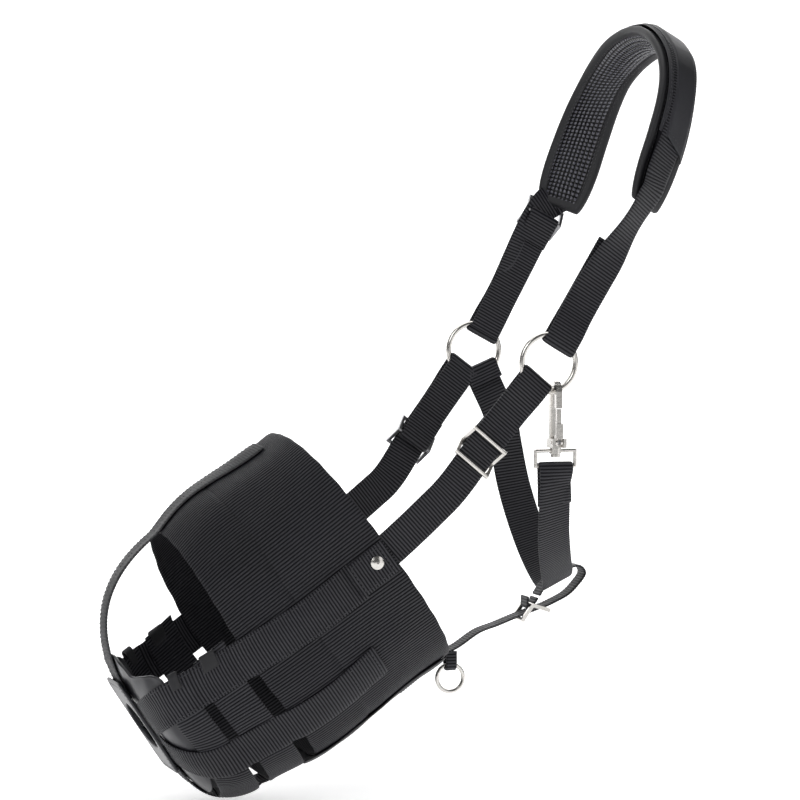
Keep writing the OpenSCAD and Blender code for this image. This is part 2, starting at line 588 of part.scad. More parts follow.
gate_t = 2.6;
gate_w = 3.4;
gate_back = 1.5;                 // from the pin's middle to the gate's outer face
knuckle_x = 1.2;
knuckle_w = 1.4;
knuckle_r = 2.3;
arm_h = 5;
thumb = [5.2, 1.6, 10];
module snap_gate() color(NICKEL) at_snap(0) at_gate_pin() difference() {
    union() {
        translate([-gate_w / 2, -gate_back, gate_t]) cube([gate_w, gate_t, nose_z - pivot_z - gap - gate_t]);
        for (x = [-knuckle_x - knuckle_w / 2, knuckle_x + knuckle_w / 2]) translate([x, 0, 0]) {
            cross_bar(knuckle_w, knuckle_r);
            translate([-knuckle_w / 2, -gate_back, 0]) cube([knuckle_w, gate_t, arm_h]);
        }
        translate([-thumb.x / 2, -gate_back - 1.4, 3]) cube(thumb);
    }
    cross_bar(20, pin_r + 0.07);
}
module gate_pin() color(NICKEL) at_snap(0) at_gate_pin() cross_bar(2 * (cheek_x + cheek_t) + 1, pin_r);

spring_r = 1.6;
spring_wire = 0.6;
module gate_spring() color(GUNMETAL) at_snap(0) at_gate_pin() rotate([0, 90, 0])
    for (x = [-0.7, 0.7]) translate([0, 0, x])
        rotate_extrude() translate([spring_r, 0]) circle(d = spring_wire);

// ---------------------------------------------------------------- chin strap

rim_chin = from_basket([-mouth_long / 2 - 2 * layer - 1.6, 0, 3]);
chin_tail = from_basket([-mouth_long / 2 - 2 * layer - 1.2, 0, 40]);
function chin_pt(l, h) = chin_slide_at + l * [cos(chin_slide_angle), 0, sin(chin_slide_angle)]
    + h * [-sin(chin_slide_angle), 0, cos(chin_slide_angle)];
chin_loop = [chin_pt(13, 0), [-62.5, 0, -400.5], [-53.5, 0, -392], [-49, 0, -385], [-52.5, 0, -380],
    [-59.5, 0, -380.5], [-70.5, 0, -385.5], [-79.5, 0, -393], [-84.5, 0, -400.5]];

module chin_ribbon(line, w) color(WEB) ribbon([for (p = line) [p, [0, 1, 0]]], w, web_t);
module chin_strap() chin_ribbon(concat(
    curve([chin_tail, mix(chin_tail, rim_chin, 0.6), rim_chin + [2, 0, 3], [-146, 0, -435], [-131, 0, -425.5],
        [-116.5, 0, -420.7], chin_pt(-14, 0)], 30),
    [chin_pt(-5, 0), chin_pt(5, 0)],
    curve(chin_loop, 26)), chin_web_w);
module chin_return() {
    wrap = bar_wrap;
    bar = chin_pt(0, bar_in);
    start = [-85.8, 0, -402];
    chin_ribbon(concat(
        [start, mix(start, bar + [wrap, 0, 0.6], 0.6)],
        [for (b = [20 : -30 : -190]) bar + wrap * [cos(b), 0, sin(b)]],
        [bar + [-2.4, 0, 6]]), chin_web_w - 1);
}
module chin_slide() color(NICKEL) translate(chin_slide_at) rotate([0, -chin_slide_angle, 0])
    mirror([0, 0, 1]) slide_frame(chin_web_w);

keeper_mid = rim_chin + [10.5, 0, -3.5];
chin_ring_at = keeper_mid + [0, 0, -chin_ring_mid];
keeper_w = 8;
keeper_rise = 6.4;               // from the ring's wire up to the chin strap
module ring_keeper() color(WEB) {
    wrap = chin_ring_wire / 2 + 1.3 + web_t / 2;
    ribbon([for (p = concat([[0, -wrap, keeper_rise]],
                            [for (b = [180 : 30 : 360]) [0, wrap * cos(b), wrap * sin(b)]],
                            [[0, wrap, keeper_rise]]))
        [keeper_mid + p, [1, 0, 0]]], keeper_w, web_t);
}
module chin_ring() color(NICKEL) ring(chin_ring_at, chin_ring_mid, chin_ring_wire);

// ---------------------------------------------------------------- drawing

collar_rim_band();
collar_lower_band();
weave_strap_upper();
weave_strap_lower();
floor_panel();
floor_patch();
near_side_strap();
far_side_strap();
near_lower_strap();
far_lower_strap();
nose_strap();
chin_panel();
chin_centre_strap();
rivet_caps();
rivet_washers();
near_cheek_strap();
far_cheek_strap();
near_cheek_return();
far_cheek_return();
near_cheek_slide();
far_cheek_slide();
near_ring();
far_ring();
crown_strap();
crown_return();
crown_slide();
pad_core();
pad_lining();
pad_cover();
pad_binding();
pad_sleeve();
throat_strap();
snap_eye();
snap_hook();
snap_gate();
gate_pin();
gate_spring();
chin_strap();
chin_return();
chin_slide();
ring_keeper();
chin_ring();
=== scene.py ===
"""Grazing muzzle with a padded headstall: its cloth, padding, metal and light, on the CAD frame."""
import math

import bpy
import numpy as np
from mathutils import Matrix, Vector


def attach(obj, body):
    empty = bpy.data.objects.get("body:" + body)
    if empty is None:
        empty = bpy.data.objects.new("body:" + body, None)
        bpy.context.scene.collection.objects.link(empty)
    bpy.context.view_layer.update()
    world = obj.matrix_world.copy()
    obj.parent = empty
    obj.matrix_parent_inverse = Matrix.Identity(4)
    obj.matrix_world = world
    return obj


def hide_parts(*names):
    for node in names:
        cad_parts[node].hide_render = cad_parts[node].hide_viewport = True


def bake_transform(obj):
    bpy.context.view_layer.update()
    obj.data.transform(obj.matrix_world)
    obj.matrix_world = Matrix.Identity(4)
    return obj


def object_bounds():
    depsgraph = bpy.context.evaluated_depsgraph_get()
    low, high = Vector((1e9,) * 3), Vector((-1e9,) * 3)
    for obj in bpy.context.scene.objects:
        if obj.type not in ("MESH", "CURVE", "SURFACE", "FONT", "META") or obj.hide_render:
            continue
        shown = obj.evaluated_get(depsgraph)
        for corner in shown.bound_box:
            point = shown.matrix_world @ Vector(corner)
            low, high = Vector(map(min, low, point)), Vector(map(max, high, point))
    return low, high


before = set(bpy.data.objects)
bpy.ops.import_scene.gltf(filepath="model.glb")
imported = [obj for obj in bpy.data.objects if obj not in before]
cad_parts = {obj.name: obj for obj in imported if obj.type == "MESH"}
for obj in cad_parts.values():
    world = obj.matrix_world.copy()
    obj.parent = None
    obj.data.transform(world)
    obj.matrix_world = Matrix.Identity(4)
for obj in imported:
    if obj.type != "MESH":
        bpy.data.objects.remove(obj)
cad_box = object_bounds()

# Lengths in this script are millimetres, as in the CAD source, until a mesh is made.
MM = 0.001

# ---- sizes shared with the CAD source

MOUTH_LONG, MOUTH_WIDE = 198, 168
BASKET_DEPTH, BASKET_TILT = 195, math.radians(36.4)
FLOOR_NOSE, FLOOR_CHIN, FLOOR_SIDE = 93, 86, 66
FLOOR_SLOPE = 0.055
FEED_HOLE_R = 19
SECTION_POWER = 2.5
SIDE_CORNER, NOSE_CORNER, CHIN_CORNER = 38, 75, 48
SIDE_BELLY, END_BELLY = 3, 6
COLLAR_SIDE, COLLAR_ENDS, BAND_SPLIT = 124, 115.5, 0.605

WEB_W, WEB_T, CLOTH_GAP = 25, 1.8, 0.4
LAYER = WEB_T + CLOTH_GAP
SIDE_STRAP_W, CHIN_WEB_W, KEEPER_W = 28, 16, 8

MOUTH_MID = np.array([-221.7, 0, -359])
NEAR_RING, FAR_RING = np.array([-108.5, -88, -227]), np.array([-102.5, 88, -224])
RING_WIRE = 4
FOLD_AT = 15
NEAR_CHEEK_ANGLE, FAR_CHEEK_ANGLE = 230, 233.7
NEAR_CROWN_ANGLE, FAR_CROWN_ANGLE = 59, 61.5
THROAT_ANGLE = -67
NEAR_SLIDE_RUN, FAR_SLIDE_RUN, CROWN_SLIDE_RUN = 80, 83, 113.5
TRAVEL_DOWN = 30
NEAR_RIVET_X, FAR_RIVET_X, RIVET_DEPTH = 3.5, -2.5, 13
BAR_R = 1.5
SLIDE_LONG = 24
BAR_IN = WEB_T * 1.5 + 0.6 + BAR_R
RETURN_IN = LAYER
FOLD_H = RING_WIRE / 2 + CLOTH_GAP + WEB_T / 2

EYE = np.array([-103.3, -88, -299.6])
EYE_BAR_R = 1.3
CHIN_SLIDE_AT = np.array([-89.5, 0, -411.5])
CHIN_SLIDE_ANGLE = math.radians(18)
CHIN_RING_WIRE = 3

PAD_HALF_T = 6
ARCH_END = 16
FRONT_HALF = [[-50, 96, -111], [-44, 96, -87], [-36, 95, -64], [-28, 91, -42], [-22, 82, -24],
              [-18, 67, -8], [-16, 45, 5], [-14, 21, 12], [-13, 0, 14]]
REAR_HALF = [[-22, 74, -124], [-9, 75, -96], [0, 75, -70], [7, 70, -45], [12, 61, -27],
             [16, 48, -16], [18, 31, -9], [19, 14, -5], [19, 0, -5]]

# ---- sizes of the cloth's detail

RIB_PITCH = 2.25          # ribs across all webbing
RIB_DEPTH = 0.42
ROW_STEP = RIB_PITCH / 5  # rows of mesh along a strap
CELL = 3.2                # cells of the pad's basket-weave lining
CELL_DEPTH = 0.8
BINDING_W = 6.8           # tape round the pad's edge
STITCH_PITCH = 3.2
STITCH_LONG = 2.3
STITCH_R = 0.32


# ---- arithmetic

def unit(v):
    return v / np.linalg.norm(v, axis=-1, keepdims=True)


def mix(a, b, k):
    return a + (b - a) * k


def smooth_step(k):
    c = np.clip(k, 0, 1)
    return c * c * (3 - 2 * c)


def vec(x, y, z):
    return np.stack(np.broadcast_arrays(x, y, z), axis=-1).astype(float)


def catmull_rom(points, k):
    """Curve through the points, at places k from 0 to len(points) - 1."""
    p = np.asarray(points, float)
    i = np.minimum(len(p) - 2, np.floor(k).astype(int))
    t = (k - i)[..., None]
    a, b, c = p[np.maximum(0, i - 1)], p[i], p[i + 1]
    d = p[np.minimum(len(p) - 1, i + 2)]
    return 0.5 * (2 * b + (c - a) * t + (2 * a - 5 * b + 4 * c - d) * t**2 + (3 * b - a - 3 * c + d) * t**3)


def curve(points, count):
    return list(catmull_rom(points, np.linspace(0, len(points) - 1, count + 1)))


def hermite(x, xs, ys):
    """Smooth curve through unevenly placed values, without overshoot."""
    xs, ys = np.asarray(xs, float), np.asarray(ys, float)
    if ys.ndim == 1:
        return hermite(x, xs, ys[:, None])[:, 0]
    h = np.diff(xs)[:, None]
    slope = np.diff(ys, axis=0) / h
    inner = (slope[:-1] * h[1:] + slope[1:] * h[:-1]) / (h[:-1] + h[1:])
    m = np.concatenate([slope[:1], inner, slope[-1:]])
    i = np.clip(np.searchsorted(xs, x, side="right") - 1, 0, len(xs) - 2)
    t = ((x - xs[i]) / (xs[i + 1] - xs[i]))[:, None]
    hi = h[i]
    return ((2 * t**3 - 3 * t**2 + 1) * ys[i] + (t**3 - 2 * t**2 + t) * hi * m[i]
            + (3 * t**2 - 2 * t**3) * ys[i + 1] + (t**3 - t**2) * hi * m[i + 1])


def run_length(points):
    return np.concatenate([[0], np.cumsum(np.linalg.norm(np.diff(points, axis=0), axis=1))])


# ---- meshes

def piece(name, verts, faces, materials, body, face_material=None, uv=None):
    """New object from vertices in millimetres, which rides on a body."""
    mesh = bpy.data.meshes.new(name)
    mesh.from_pydata((np.asarray(verts) * MM).tolist(), [], faces)
    for material in materials:
        mesh.materials.append(material)
    if face_material is not None:
        mesh.polygons.foreach_set("material_index", np.asarray(face_material, dtype=np.int32))
    if uv is not None:
        layer = mesh.uv_layers.new(name="cloth")
        index = np.empty(len(mesh.loops), dtype=np.int32)
        mesh.loops.foreach_get("vertex_index", index)
        layer.data.foreach_set("uv", (np.asarray(uv) * MM)[index].astype(np.float32).ravel())
    mesh.polygons.foreach_set("use_smooth", np.ones(len(mesh.polygons), dtype=bool))
    mesh.validate()
    mesh.update()
    obj = bpy.data.objects.new(name, mesh)
    bpy.context.scene.collection.objects.link(obj)
    if body:
        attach(obj, body)
    return obj


def cloth(name, mid, normal, out_h, in_h, materials, body, loop=False,
          along=None, across=None, face_material=None):
    """Closed cloth body round a grid of points: out_h and in_h are its heights over and under the grid."""
    n, m = mid.shape[:2]
    normal = np.broadcast_to(normal, mid.shape)
    over = mid + normal * np.broadcast_to(out_h, (n, m))[..., None]
    under = mid - normal * np.broadcast_to(in_h, (n, m))[..., None]
    verts = np.concatenate([over, under[:, ::-1]], axis=1).reshape(-1, 3)
    width = 2 * m
    rows = n if loop else n - 1
    i, k = np.meshgrid(np.arange(rows), np.arange(width), indexing="ij")
    ni, nk = (i + 1) % n, (k + 1) % width
    quads = np.stack([i * width + k, i * width + nk, ni * width + nk, ni * width + k], axis=-1).reshape(-1, 4)
    c, r = n // 2, m // 2
    turn = np.cross(mid[c, r + 1] - mid[c, r], mid[c + 1, r] - mid[c, r]) @ normal[c, r]
    caps = []
    if not loop:
        for row, flip in ((0, False), (n - 1, True)):
            for j in range(m - 1):
                cap = [row * width + j, row * width + width - 1 - j,
                       row * width + width - 2 - j, row * width + j + 1]
                caps.append(cap[::-1] if flip else cap)
    faces = quads.tolist() + caps
    if turn < 0:
        faces = [f[::-1] for f in faces]
    if face_material is not None:
        face_material = list(np.asarray(face_material).ravel()) + [face_material[0][0]] * len(caps)
    uv = None
    if along is not None:
        u = np.broadcast_to(np.asarray(along)[:, None] if np.ndim(along) == 1 else along, (n, m))
        v = np.broadcast_to(np.asarray(across), (n, m))
        uv = np.stack([np.concatenate([u, u[:, ::-1]], axis=1),
                       np.concatenate([v, v[:, ::-1]], axis=1)], axis=-1).reshape(-1, 2)
    return piece(name, verts, faces, materials, body, face_material, uv)


def ribs(length):
    """Height share of the ribs at each run along a strap, from 0 in a groove to 1 on a rib."""
    return np.abs(np.sin(np.pi * length / RIB_PITCH)) ** 0.55


def rib_height(length, across, t=WEB_T, depth=RIB_DEPTH):
    """Half thickness of ribbed webbing over a grid, with rolled edges. across runs from -1 to 1."""
    edge = np.sqrt(np.clip(1 - np.abs(across) ** 14, 0.12, 1))
    yarn = 1 + 0.05 * np.sin(np.pi * 9 * across)
    return (t / 2 - depth * (1 - ribs(length)))[:, None] * (edge * yarn)[None, :]


CROSS = np.array([-1, -0.985, -0.93, -0.8, -0.6, -0.4, -0.2, 0, 0.2, 0.4, 0.6, 0.8, 0.93, 0.985, 1])


def strap(name, rows, w, body="root", t=WEB_T, materials=None, slot="webbing", twist=0.25, depth=RIB_DEPTH):
    """Webbing along rows of [point, width direction]. Gives the object and the grid it was made on."""
    points = np.array([r[0] for r in rows], float)
    widths = np.array([r[1] for r in rows], float)
    length = run_length(points)
    keep = np.concatenate([[True], np.diff(length) > 1e-6])
    points, widths, length = points[keep], widths[keep], length[keep]
    count = max(8, int(length[-1] / ROW_STEP))
    fine = np.linspace(0, length[-1], count * 2)
    line = hermite(fine, length, points)
    fine_run = run_length(line)
    run = np.linspace(0, fine_run[-1], count)
    line = np.stack([np.interp(run, fine_run, line[:, k]) for k in range(3)], axis=1)
    at = np.interp(run, fine_run, fine)
    side = hermite(at, length, widths)
    tangent = unit(np.gradient(line, axis=0))
    side = unit(side - np.sum(side * tangent, axis=1, keepdims=True) * tangent)
    normal = unit(np.cross(tangent, side))
    wave = twist * np.sin(run / 23 + points[0, 0]) * np.sin(run / 41 + points[0, 2])
    narrow = w / 2 * (1 - 0.018 * (1 - ribs(run)))
    mid = line[:, None] + CROSS[None, :, None] * (narrow[:, None] * side)[:, None]
    grid_normal = np.broadcast_to(normal[:, None], mid.shape)
    mid = mid + grid_normal * (wave[:, None] * (CROSS[None, :] ** 2))[..., None]
    half = rib_height(run, CROSS, t, depth)
    obj = cloth(name, mid, grid_normal, half, half, materials or [WEBBING], body,
                along=run, across=CROSS * w / 2)
    return obj, {"mid": mid, "normal": grid_normal, "run": run}


# ---- stitching

def stitch_path(grid, u, run0, run1, side=1, lift=0.0):
    """Points and normals on one face of a strap, at u across it, between two runs."""
    inside = (grid["run"] >= run0) & (grid["run"] <= run1)
    mid, normal = grid["mid"][inside], grid["normal"][inside]
    j = np.interp(u, CROSS, np.arange(len(CROSS)))
    j0, k = int(j), j - int(j)
    j1 = min(j0 + 1, len(CROSS) - 1)
    n = mix(normal[:, j0], normal[:, j1], k) * side
    top = WEB_T / 2 - 0.06 + lift
    return mix(mid[:, j0], mid[:, j1], k) + n * top, n


def stitch_across(grid, run, side=1, reach=0.86):
    """The same, across the strap at one run."""
    i = int(np.argmin(np.abs(grid["run"] - run)))
    us = np.linspace(-reach, reach, 40)
    place = np.interp(us, CROSS, np.arange(len(CROSS)))
    lo = np.floor(place).astype(int)
    hi = np.minimum(lo + 1, len(CROSS) - 1)
    k = (place - lo)[:, None]
    n = mix(grid["normal"][i, lo], grid["normal"][i, hi], k) * side
    return mix(grid["mid"][i, lo], grid["mid"][i, hi], k) + n * (WEB_T / 2 - 0.06), n


def stitches(name, paths, body="root", material=None, pitch=STITCH_PITCH):
    """One object of sewn stitches along the paths, each of them points and normals."""
    verts, faces = [], []
    rings = [(-1.0, 0.25), (-0.6, 0.85), (0.0, 1.0), (0.6, 0.85), (1.0, 0.25)]
    sides = 6
    for points, normals in paths:
        length = run_length(points)
        count = int(length[-1] / pitch)
        for c in range(count):
            s = (c + 0.5) * length[-1] / count
            at = np.array([np.interp(s, length, points[:, k]) for k in range(3)])
            ahead = np.array([np.interp(min(length[-1], s + 0.5), length, points[:, k]) for k in range(3)])
            behind = np.array([np.interp(max(0, s - 0.5), length, points[:, k]) for k in range(3)])
            n = np.array([np.interp(s, length, normals[:, k]) for k in range(3)])
            t = unit(ahead - behind)
            n = unit(n - (n @ t) * t)
            b = np.cross(t, n)
            base = len(verts)
            for x, r in rings:
                for q in range(sides):
                    turn = 2 * math.pi * q / sides
                    dip = -STITCH_R * 0.8 * x * x
                    verts.append(at + t * (x * STITCH_LONG / 2) + n * dip
                                 + STITCH_R * r * (math.cos(turn) * b + math.sin(turn) * n))
            for i in range(len(rings) - 1):
                for q in range(sides):
                    a0, a1 = base + i * sides + q, base + i * sides + (q + 1) % sides
                    faces.append([a0, a0 + sides, a1 + sides, a1])
            faces.append([base + q for q in range(sides)])
            last = base + (len(rings) - 1) * sides
            faces.append([last + q for q in range(sides - 1, -1, -1)])
    return piece(name, verts, faces, [material or THREAD], body)


def box_stitch(grid, run0, run1, side=1, u=0.8):
    """A sewn box on a strap, between two runs."""
    return [stitch_path(grid, -u, run0, run1, side), stitch_path(grid, u, run0, run1, side),
            stitch_across(grid, run0, side, u), stitch_across(grid, run1, side, u)]


# ---- materials

class Graph:
    """A material's nodes, wired by short calls."""

    def __init__(self, name):
        self.material = bpy.data.materials.new(name)
        self.material.use_nodes = True
        self.nodes = self.material.node_tree.nodes
        self.links = self.material.node_tree.links
        self.shader = self.nodes["Principled BSDF"]

    def add(self, kind, **values):
        made = self.nodes.new(kind)
        for key, value in values.items():
            setattr(made, key, value)
        return made

    def link(self, source, target):
        self.links.new(source, target)

    def set(self, node, **values):
        for key, value in values.items():
            node.inputs[key.replace("_", " ")].default_value = value

    def place(self, use_uv=False, scale=(1, 1, 1)):
        """Coordinates in metres, scaled: a strap's own run and width, or the object's."""
        coords = self.add("ShaderNodeTexCoord")
        mapping = self.add("ShaderNodeMapping")
        mapping.inputs["Scale"].default_value = scale
        self.link(coords.outputs["UV" if use_uv else "Object"], mapping.inputs["Vector"])
        return mapping.outputs["Vector"]

    def noise(self, vector, scale, detail=4.0):
        made = self.add("ShaderNodeTexNoise")
        made.inputs["Scale"].default_value = scale
        made.inputs["Detail"].default_value = detail
        self.link(vector, made.inputs["Vector"])
        return made.outputs["Fac"]

    def math(self, operation, a, b):
        made = self.add("ShaderNodeMath", operation=operation)
        for index, value in enumerate((a, b)):
            if isinstance(value, (int, float)):
                made.inputs[index].default_value = value
            else:
                self.link(value, made.inputs[index])
        return made.outputs["Value"]

    def ramp(self, value, low, high, colour_low, colour_high):
        made = self.add("ShaderNodeValToRGB")
        made.color_ramp.elements[0].position = low
        made.color_ramp.elements[0].color = (*colour_low, 1)
        made.color_ramp.elements[1].position = high
        made.color_ramp.elements[1].color = (*colour_high, 1)
        self.link(value, made.inputs["Fac"])
        return made.outputs["Color"]

    def range(self, value, low, high):
        made = self.add("ShaderNodeMapRange")
        made.inputs["To Min"].default_value = low
        made.inputs["To Max"].default_value = high
        self.link(value, made.inputs["Value"])
        return made.outputs["Result"]

    def bump(self, height, distance, strength=1.0):
        made = self.add("ShaderNodeBump")
        made.inputs["Distance"].default_value = distance
        made.inputs["Strength"].default_value = strength
        self.link(height, made.inputs["Height"])
        self.link(made.outputs["Normal"], self.shader.inputs["Normal"])


def webbing_material(name, groove, crown, roughness=0.5, sheen=0.04):
    """Woven nylon: slanted yarns on each rib, painted shade in the grooves and a painted highlight on the rib
    crowns, dust and wear in soft patches.
    """
    g = Graph(name)
    metres = g.place(use_uv=True)
    turned = g.add("ShaderNodeMapping")
    turned.inputs["Rotation"].default_value = (0, 0, math.radians(32))
    g.link(metres, turned.inputs["Vector"])
    yarn = g.add("ShaderNodeTexWave", wave_type="BANDS", bands_direction="Y")
    g.set(yarn, Scale=330.0, Distortion=1.6, Detail=1.0)
    g.link(turned.outputs["Vector"], yarn.inputs["Vector"])
    rib = g.add("ShaderNodeTexWave", wave_type="BANDS", bands_direction="X", wave_profile="SIN")
    g.set(rib, Scale=math.pi / 10 / (RIB_PITCH * MM), Distortion=0.3, Detail=0.0)
    g.link(metres, rib.inputs["Vector"])
    patches = g.noise(g.place(), 22.0, 6.0)
    fibre = g.noise(g.place(), 2600.0, 3.0)
    height = g.math("ADD", g.math("MULTIPLY", yarn.outputs["Fac"], 0.75), g.math("MULTIPLY", fibre, 0.35))
    rib_shade_and_tone = g.math("ADD", g.math("MULTIPLY", yarn.outputs["Fac"], 0.3), g.math("MULTIPLY", patches, 0.35))
    # painted shade and highlight: the rib wave darkens the colour in each groove and lightens it on each
    # rib's crown
    rib_shade_and_tone = g.math("ADD", rib_shade_and_tone, g.math("MULTIPLY", rib.outputs["Fac"], 0.55))
    colour = g.ramp(rib_shade_and_tone, 0.3, 1.05, groove, crown)
    g.link(colour, g.shader.inputs["Base Color"])
    g.link(g.range(patches, roughness - 0.09, roughness + 0.1), g.shader.inputs["Roughness"])
    g.link(g.range(rib.outputs["Fac"], 0.08, 0.62), g.shader.inputs["Specular IOR Level"])
    g.set(g.shader, Sheen_Weight=sheen, Sheen_Roughness=0.4)
    g.bump(height, 0.00022, 0.85)
    return g.material


def smooth_material(name, low, high, roughness, grain=1500.0, coat=0.0, wrinkle=0.0004):
    """Smooth woven tape, vinyl or rubber, with a fine grain and faint broad wrinkles."""
    g = Graph(name)
    metres = g.place()
    patches = g.noise(metres, 30.0, 6.0)
    fine = g.noise(metres, grain, 3.0)
    broad = g.noise(metres, 75.0, 3.0)
    g.link(g.ramp(patches, 0.3, 0.75, low, high), g.shader.inputs["Base Color"])
    g.link(g.range(g.math("ADD", patches, g.math("MULTIPLY", fine, 0.2)), roughness - 0.08, roughness + 0.12),
           g.shader.inputs["Roughness"])
    g.set(g.shader, Coat_Weight=coat, Coat_Roughness=0.25)
    g.bump(g.math("ADD", g.math("MULTIPLY", fine, 0.12), broad), wrinkle, 0.6)
    return g.material


def lining_material(name, groove, crown):
    """Glossy woven vinyl: flat squares with a painted highlight, between grooves of painted shade, with worn
    patches.
    """
    g = Graph(name)
    metres = g.place(use_uv=True)
    squares = 1.0
    for bands in ("X", "Y"):
        wave = g.add("ShaderNodeTexWave", wave_type="BANDS", bands_direction=bands, wave_profile="SIN")
        g.set(wave, Scale=math.pi / 10 / (CELL * MM), Distortion=0.15, Detail=0.0)
        g.link(metres, wave.inputs["Vector"])
        squares = g.math("MULTIPLY", wave.outputs["Fac"], squares)
    patches = g.noise(g.place(), 60.0, 5.0)
    fine = g.noise(g.place(), 900.0, 3.0)
    # painted highlight on the squares and painted shade in the grooves between them
    g.link(g.ramp(squares, 0.08, 0.6, groove, crown), g.shader.inputs["Base Color"])
    g.link(g.range(squares, 0.05, 1.0), g.shader.inputs["Specular IOR Level"])
    g.link(g.range(patches, 0.16, 0.34), g.shader.inputs["Roughness"])
    g.set(g.shader, Coat_Weight=0.4, Coat_Roughness=0.2)
    g.bump(g.math("ADD", g.math("MULTIPLY", fine, 0.4), squares), 0.0003, 0.6)
    return g.material


def metal_material(name, low, high, roughness):
    """Plated metal with fine scratches, faint cast dimples and duller patches."""
    g = Graph(name)
    metres = g.place()
    patches = g.noise(metres, 90.0, 5.0)
    scratches = g.noise(g.place(scale=(260, 2600, 1500)), 1.0, 4.0)
    dimples = g.noise(metres, 420.0, 2.0)
    g.link(g.ramp(patches, 0.3, 0.7, low, high), g.shader.inputs["Base Color"])
    worn = g.math("ADD", g.math("MULTIPLY", patches, 0.6), g.math("MULTIPLY", scratches, 0.4))
    g.link(g.range(worn, roughness - 0.08, roughness + 0.14), g.shader.inputs["Roughness"])
    g.set(g.shader, Metallic=1.0)
    g.bump(g.math("ADD", g.math("MULTIPLY", scratches, 0.2), dimples), 0.00008, 0.5)
    return g.material


# the first colour is painted shade in the rib grooves, the second a painted highlight on the rib crowns
WEBBING = webbing_material("black_webbing", (0.002, 0.002, 0.003), (0.021, 0.021, 0.029))
COLLAR_WEB = webbing_material("collar_webbing", (0.002, 0.002, 0.003), (0.019, 0.019, 0.026), 0.56, 0.04)
TRIM = smooth_material("smooth_tape", (0.005, 0.005, 0.007), (0.011, 0.011, 0.014), 0.55)
SLEEVE = smooth_material("sleeve_cloth", (0.008, 0.008, 0.011), (0.018, 0.018, 0.024), 0.55, 2200.0)
RUBBER = smooth_material("floor_rubber", (0.014, 0.014, 0.018), (0.026, 0.026, 0.032), 0.34, 900.0, 0.15)
# the first colour is painted shade in the lining's grooves, the second a painted highlight on its squares
LINING = lining_material("vinyl_lining", (0.002, 0.002, 0.003), (0.06, 0.06, 0.08))
THREAD = smooth_material("black_thread", (0.020, 0.020, 0.024), (0.036, 0.036, 0.042), 0.45, 4000.0,
                         wrinkle=0.0001)
NICKEL = metal_material("nickel_plate", (0.62, 0.60, 0.57), (0.76, 0.74, 0.71), 0.2)
GUNMETAL = metal_material("gunmetal_plate", (0.26, 0.26, 0.27), (0.40, 0.40, 0.41), 0.26)
SPRING = metal_material("spring_steel", (0.30, 0.30, 0.32), (0.42, 0.42, 0.44), 0.3)

# ---- basket surface
# a is the angle round the basket in degrees: 0 nose, 90 far side, 180 chin, 270 near side.
# s is the place down it: 0 mouth, 1 top of the rounded corner, 2 edge of the floor, 3 its middle.

HOLE_X = -5.5
FLOOR_MID_X, FLOOR_LONG = (FLOOR_NOSE - FLOOR_CHIN) / 2, (FLOOR_NOSE + FLOOR_CHIN) / 2
FLOOR_MID = np.array([HOLE_X, 0, BASKET_DEPTH - FLOOR_SLOPE * HOLE_X])
FLOOR_UP = np.array([FLOOR_SLOPE, 0, 1])


def section_r(c, n, p, q):
    return ((np.abs(c) / p) ** SECTION_POWER + (np.abs(n) / q) ** SECTION_POWER) ** (-1 / SECTION_POWER)


def corner_run(a):
    c = np.cos(np.radians(a))
    return mix(SIDE_CORNER, np.where(c > 0, NOSE_CORNER, CHIN_CORNER), c * c)


def wall_pt(a, s):
    a, s = np.broadcast_arrays(np.asarray(a, float), np.asarray(s, float))
    c, n = np.cos(np.radians(a)), np.sin(np.radians(a))
    r = section_r(c, n, MOUTH_LONG / 2, MOUTH_WIDE / 2)
    mouth = vec(r * c, r * n, 0)
    r = section_r(c, n, FLOOR_LONG, FLOOR_SIDE)
    x = FLOOR_MID_X + r * c
    corner = vec(x, r * n, BASKET_DEPTH - FLOOR_SLOPE * x)
    down, inward = unit(corner - mouth), unit(FLOOR_MID - corner)
    run = corner_run(a)[..., None]
    wall = np.linalg.norm(corner - mouth, axis=-1, keepdims=True) - run
    k = s[..., None]
    straight = mouth + down * wall * k
    belly = mix(SIDE_BELLY, END_BELLY, c * c) * np.sin(np.pi * np.clip(s, 0, 1) ** 1.8) ** 1.4
    straight = straight + unit(straight * [1, 1, 0]) * belly[..., None]
    top, low = mouth + down * wall, corner + inward * run
    q = k - 1
    bend = (1 - q) ** 2 * top + 2 * q * (1 - q) * corner + q * q * low
    flat = mix(low, FLOOR_MID, k - 2)
    return np.where(k <= 1, straight, np.where(k <= 2, bend, flat))


def wall_normal(a, s):
    lo, hi = np.maximum(0, s - 0.02), np.minimum(2.9, s + 0.02)
    return unit(np.cross(wall_pt(a + 1, s) - wall_pt(a - 1, s), wall_pt(a, hi) - wall_pt(a, lo)))


def ripple(a, s):
    """Slow unevenness of the sewn basket, nothing at the mouth's rivets or on the floor."""
    a = np.radians(a)
    wave = 0.7 * np.sin(5 * a + 2.1 * s) + 0.5 * np.sin(11 * a - 3.4 * s + 1) + 0.35 * np.sin(17 * a + 5 * s)
    return wave * smooth_step(s / 0.25) * smooth_step((2 - s) / 0.5)


def skin(a, s, off):
    a, s = np.broadcast_arrays(np.asarray(a, float), np.asarray(s, float))
    rise = np.broadcast_to(off, a.shape) + ripple(a, s)
    return wall_pt(a, s) + rise[..., None] * wall_normal(a, s)


def from_basket(p):
    sin, cos = math.sin(BASKET_TILT), math.cos(BASKET_TILT)
    x, y, z = p[..., 0], p[..., 1], p[..., 2]
    return MOUTH_MID + vec(-sin * x - cos * z, y, cos * x - sin * z)


def turn_basket(v):
    return from_basket(v) - from_basket(np.zeros(3))


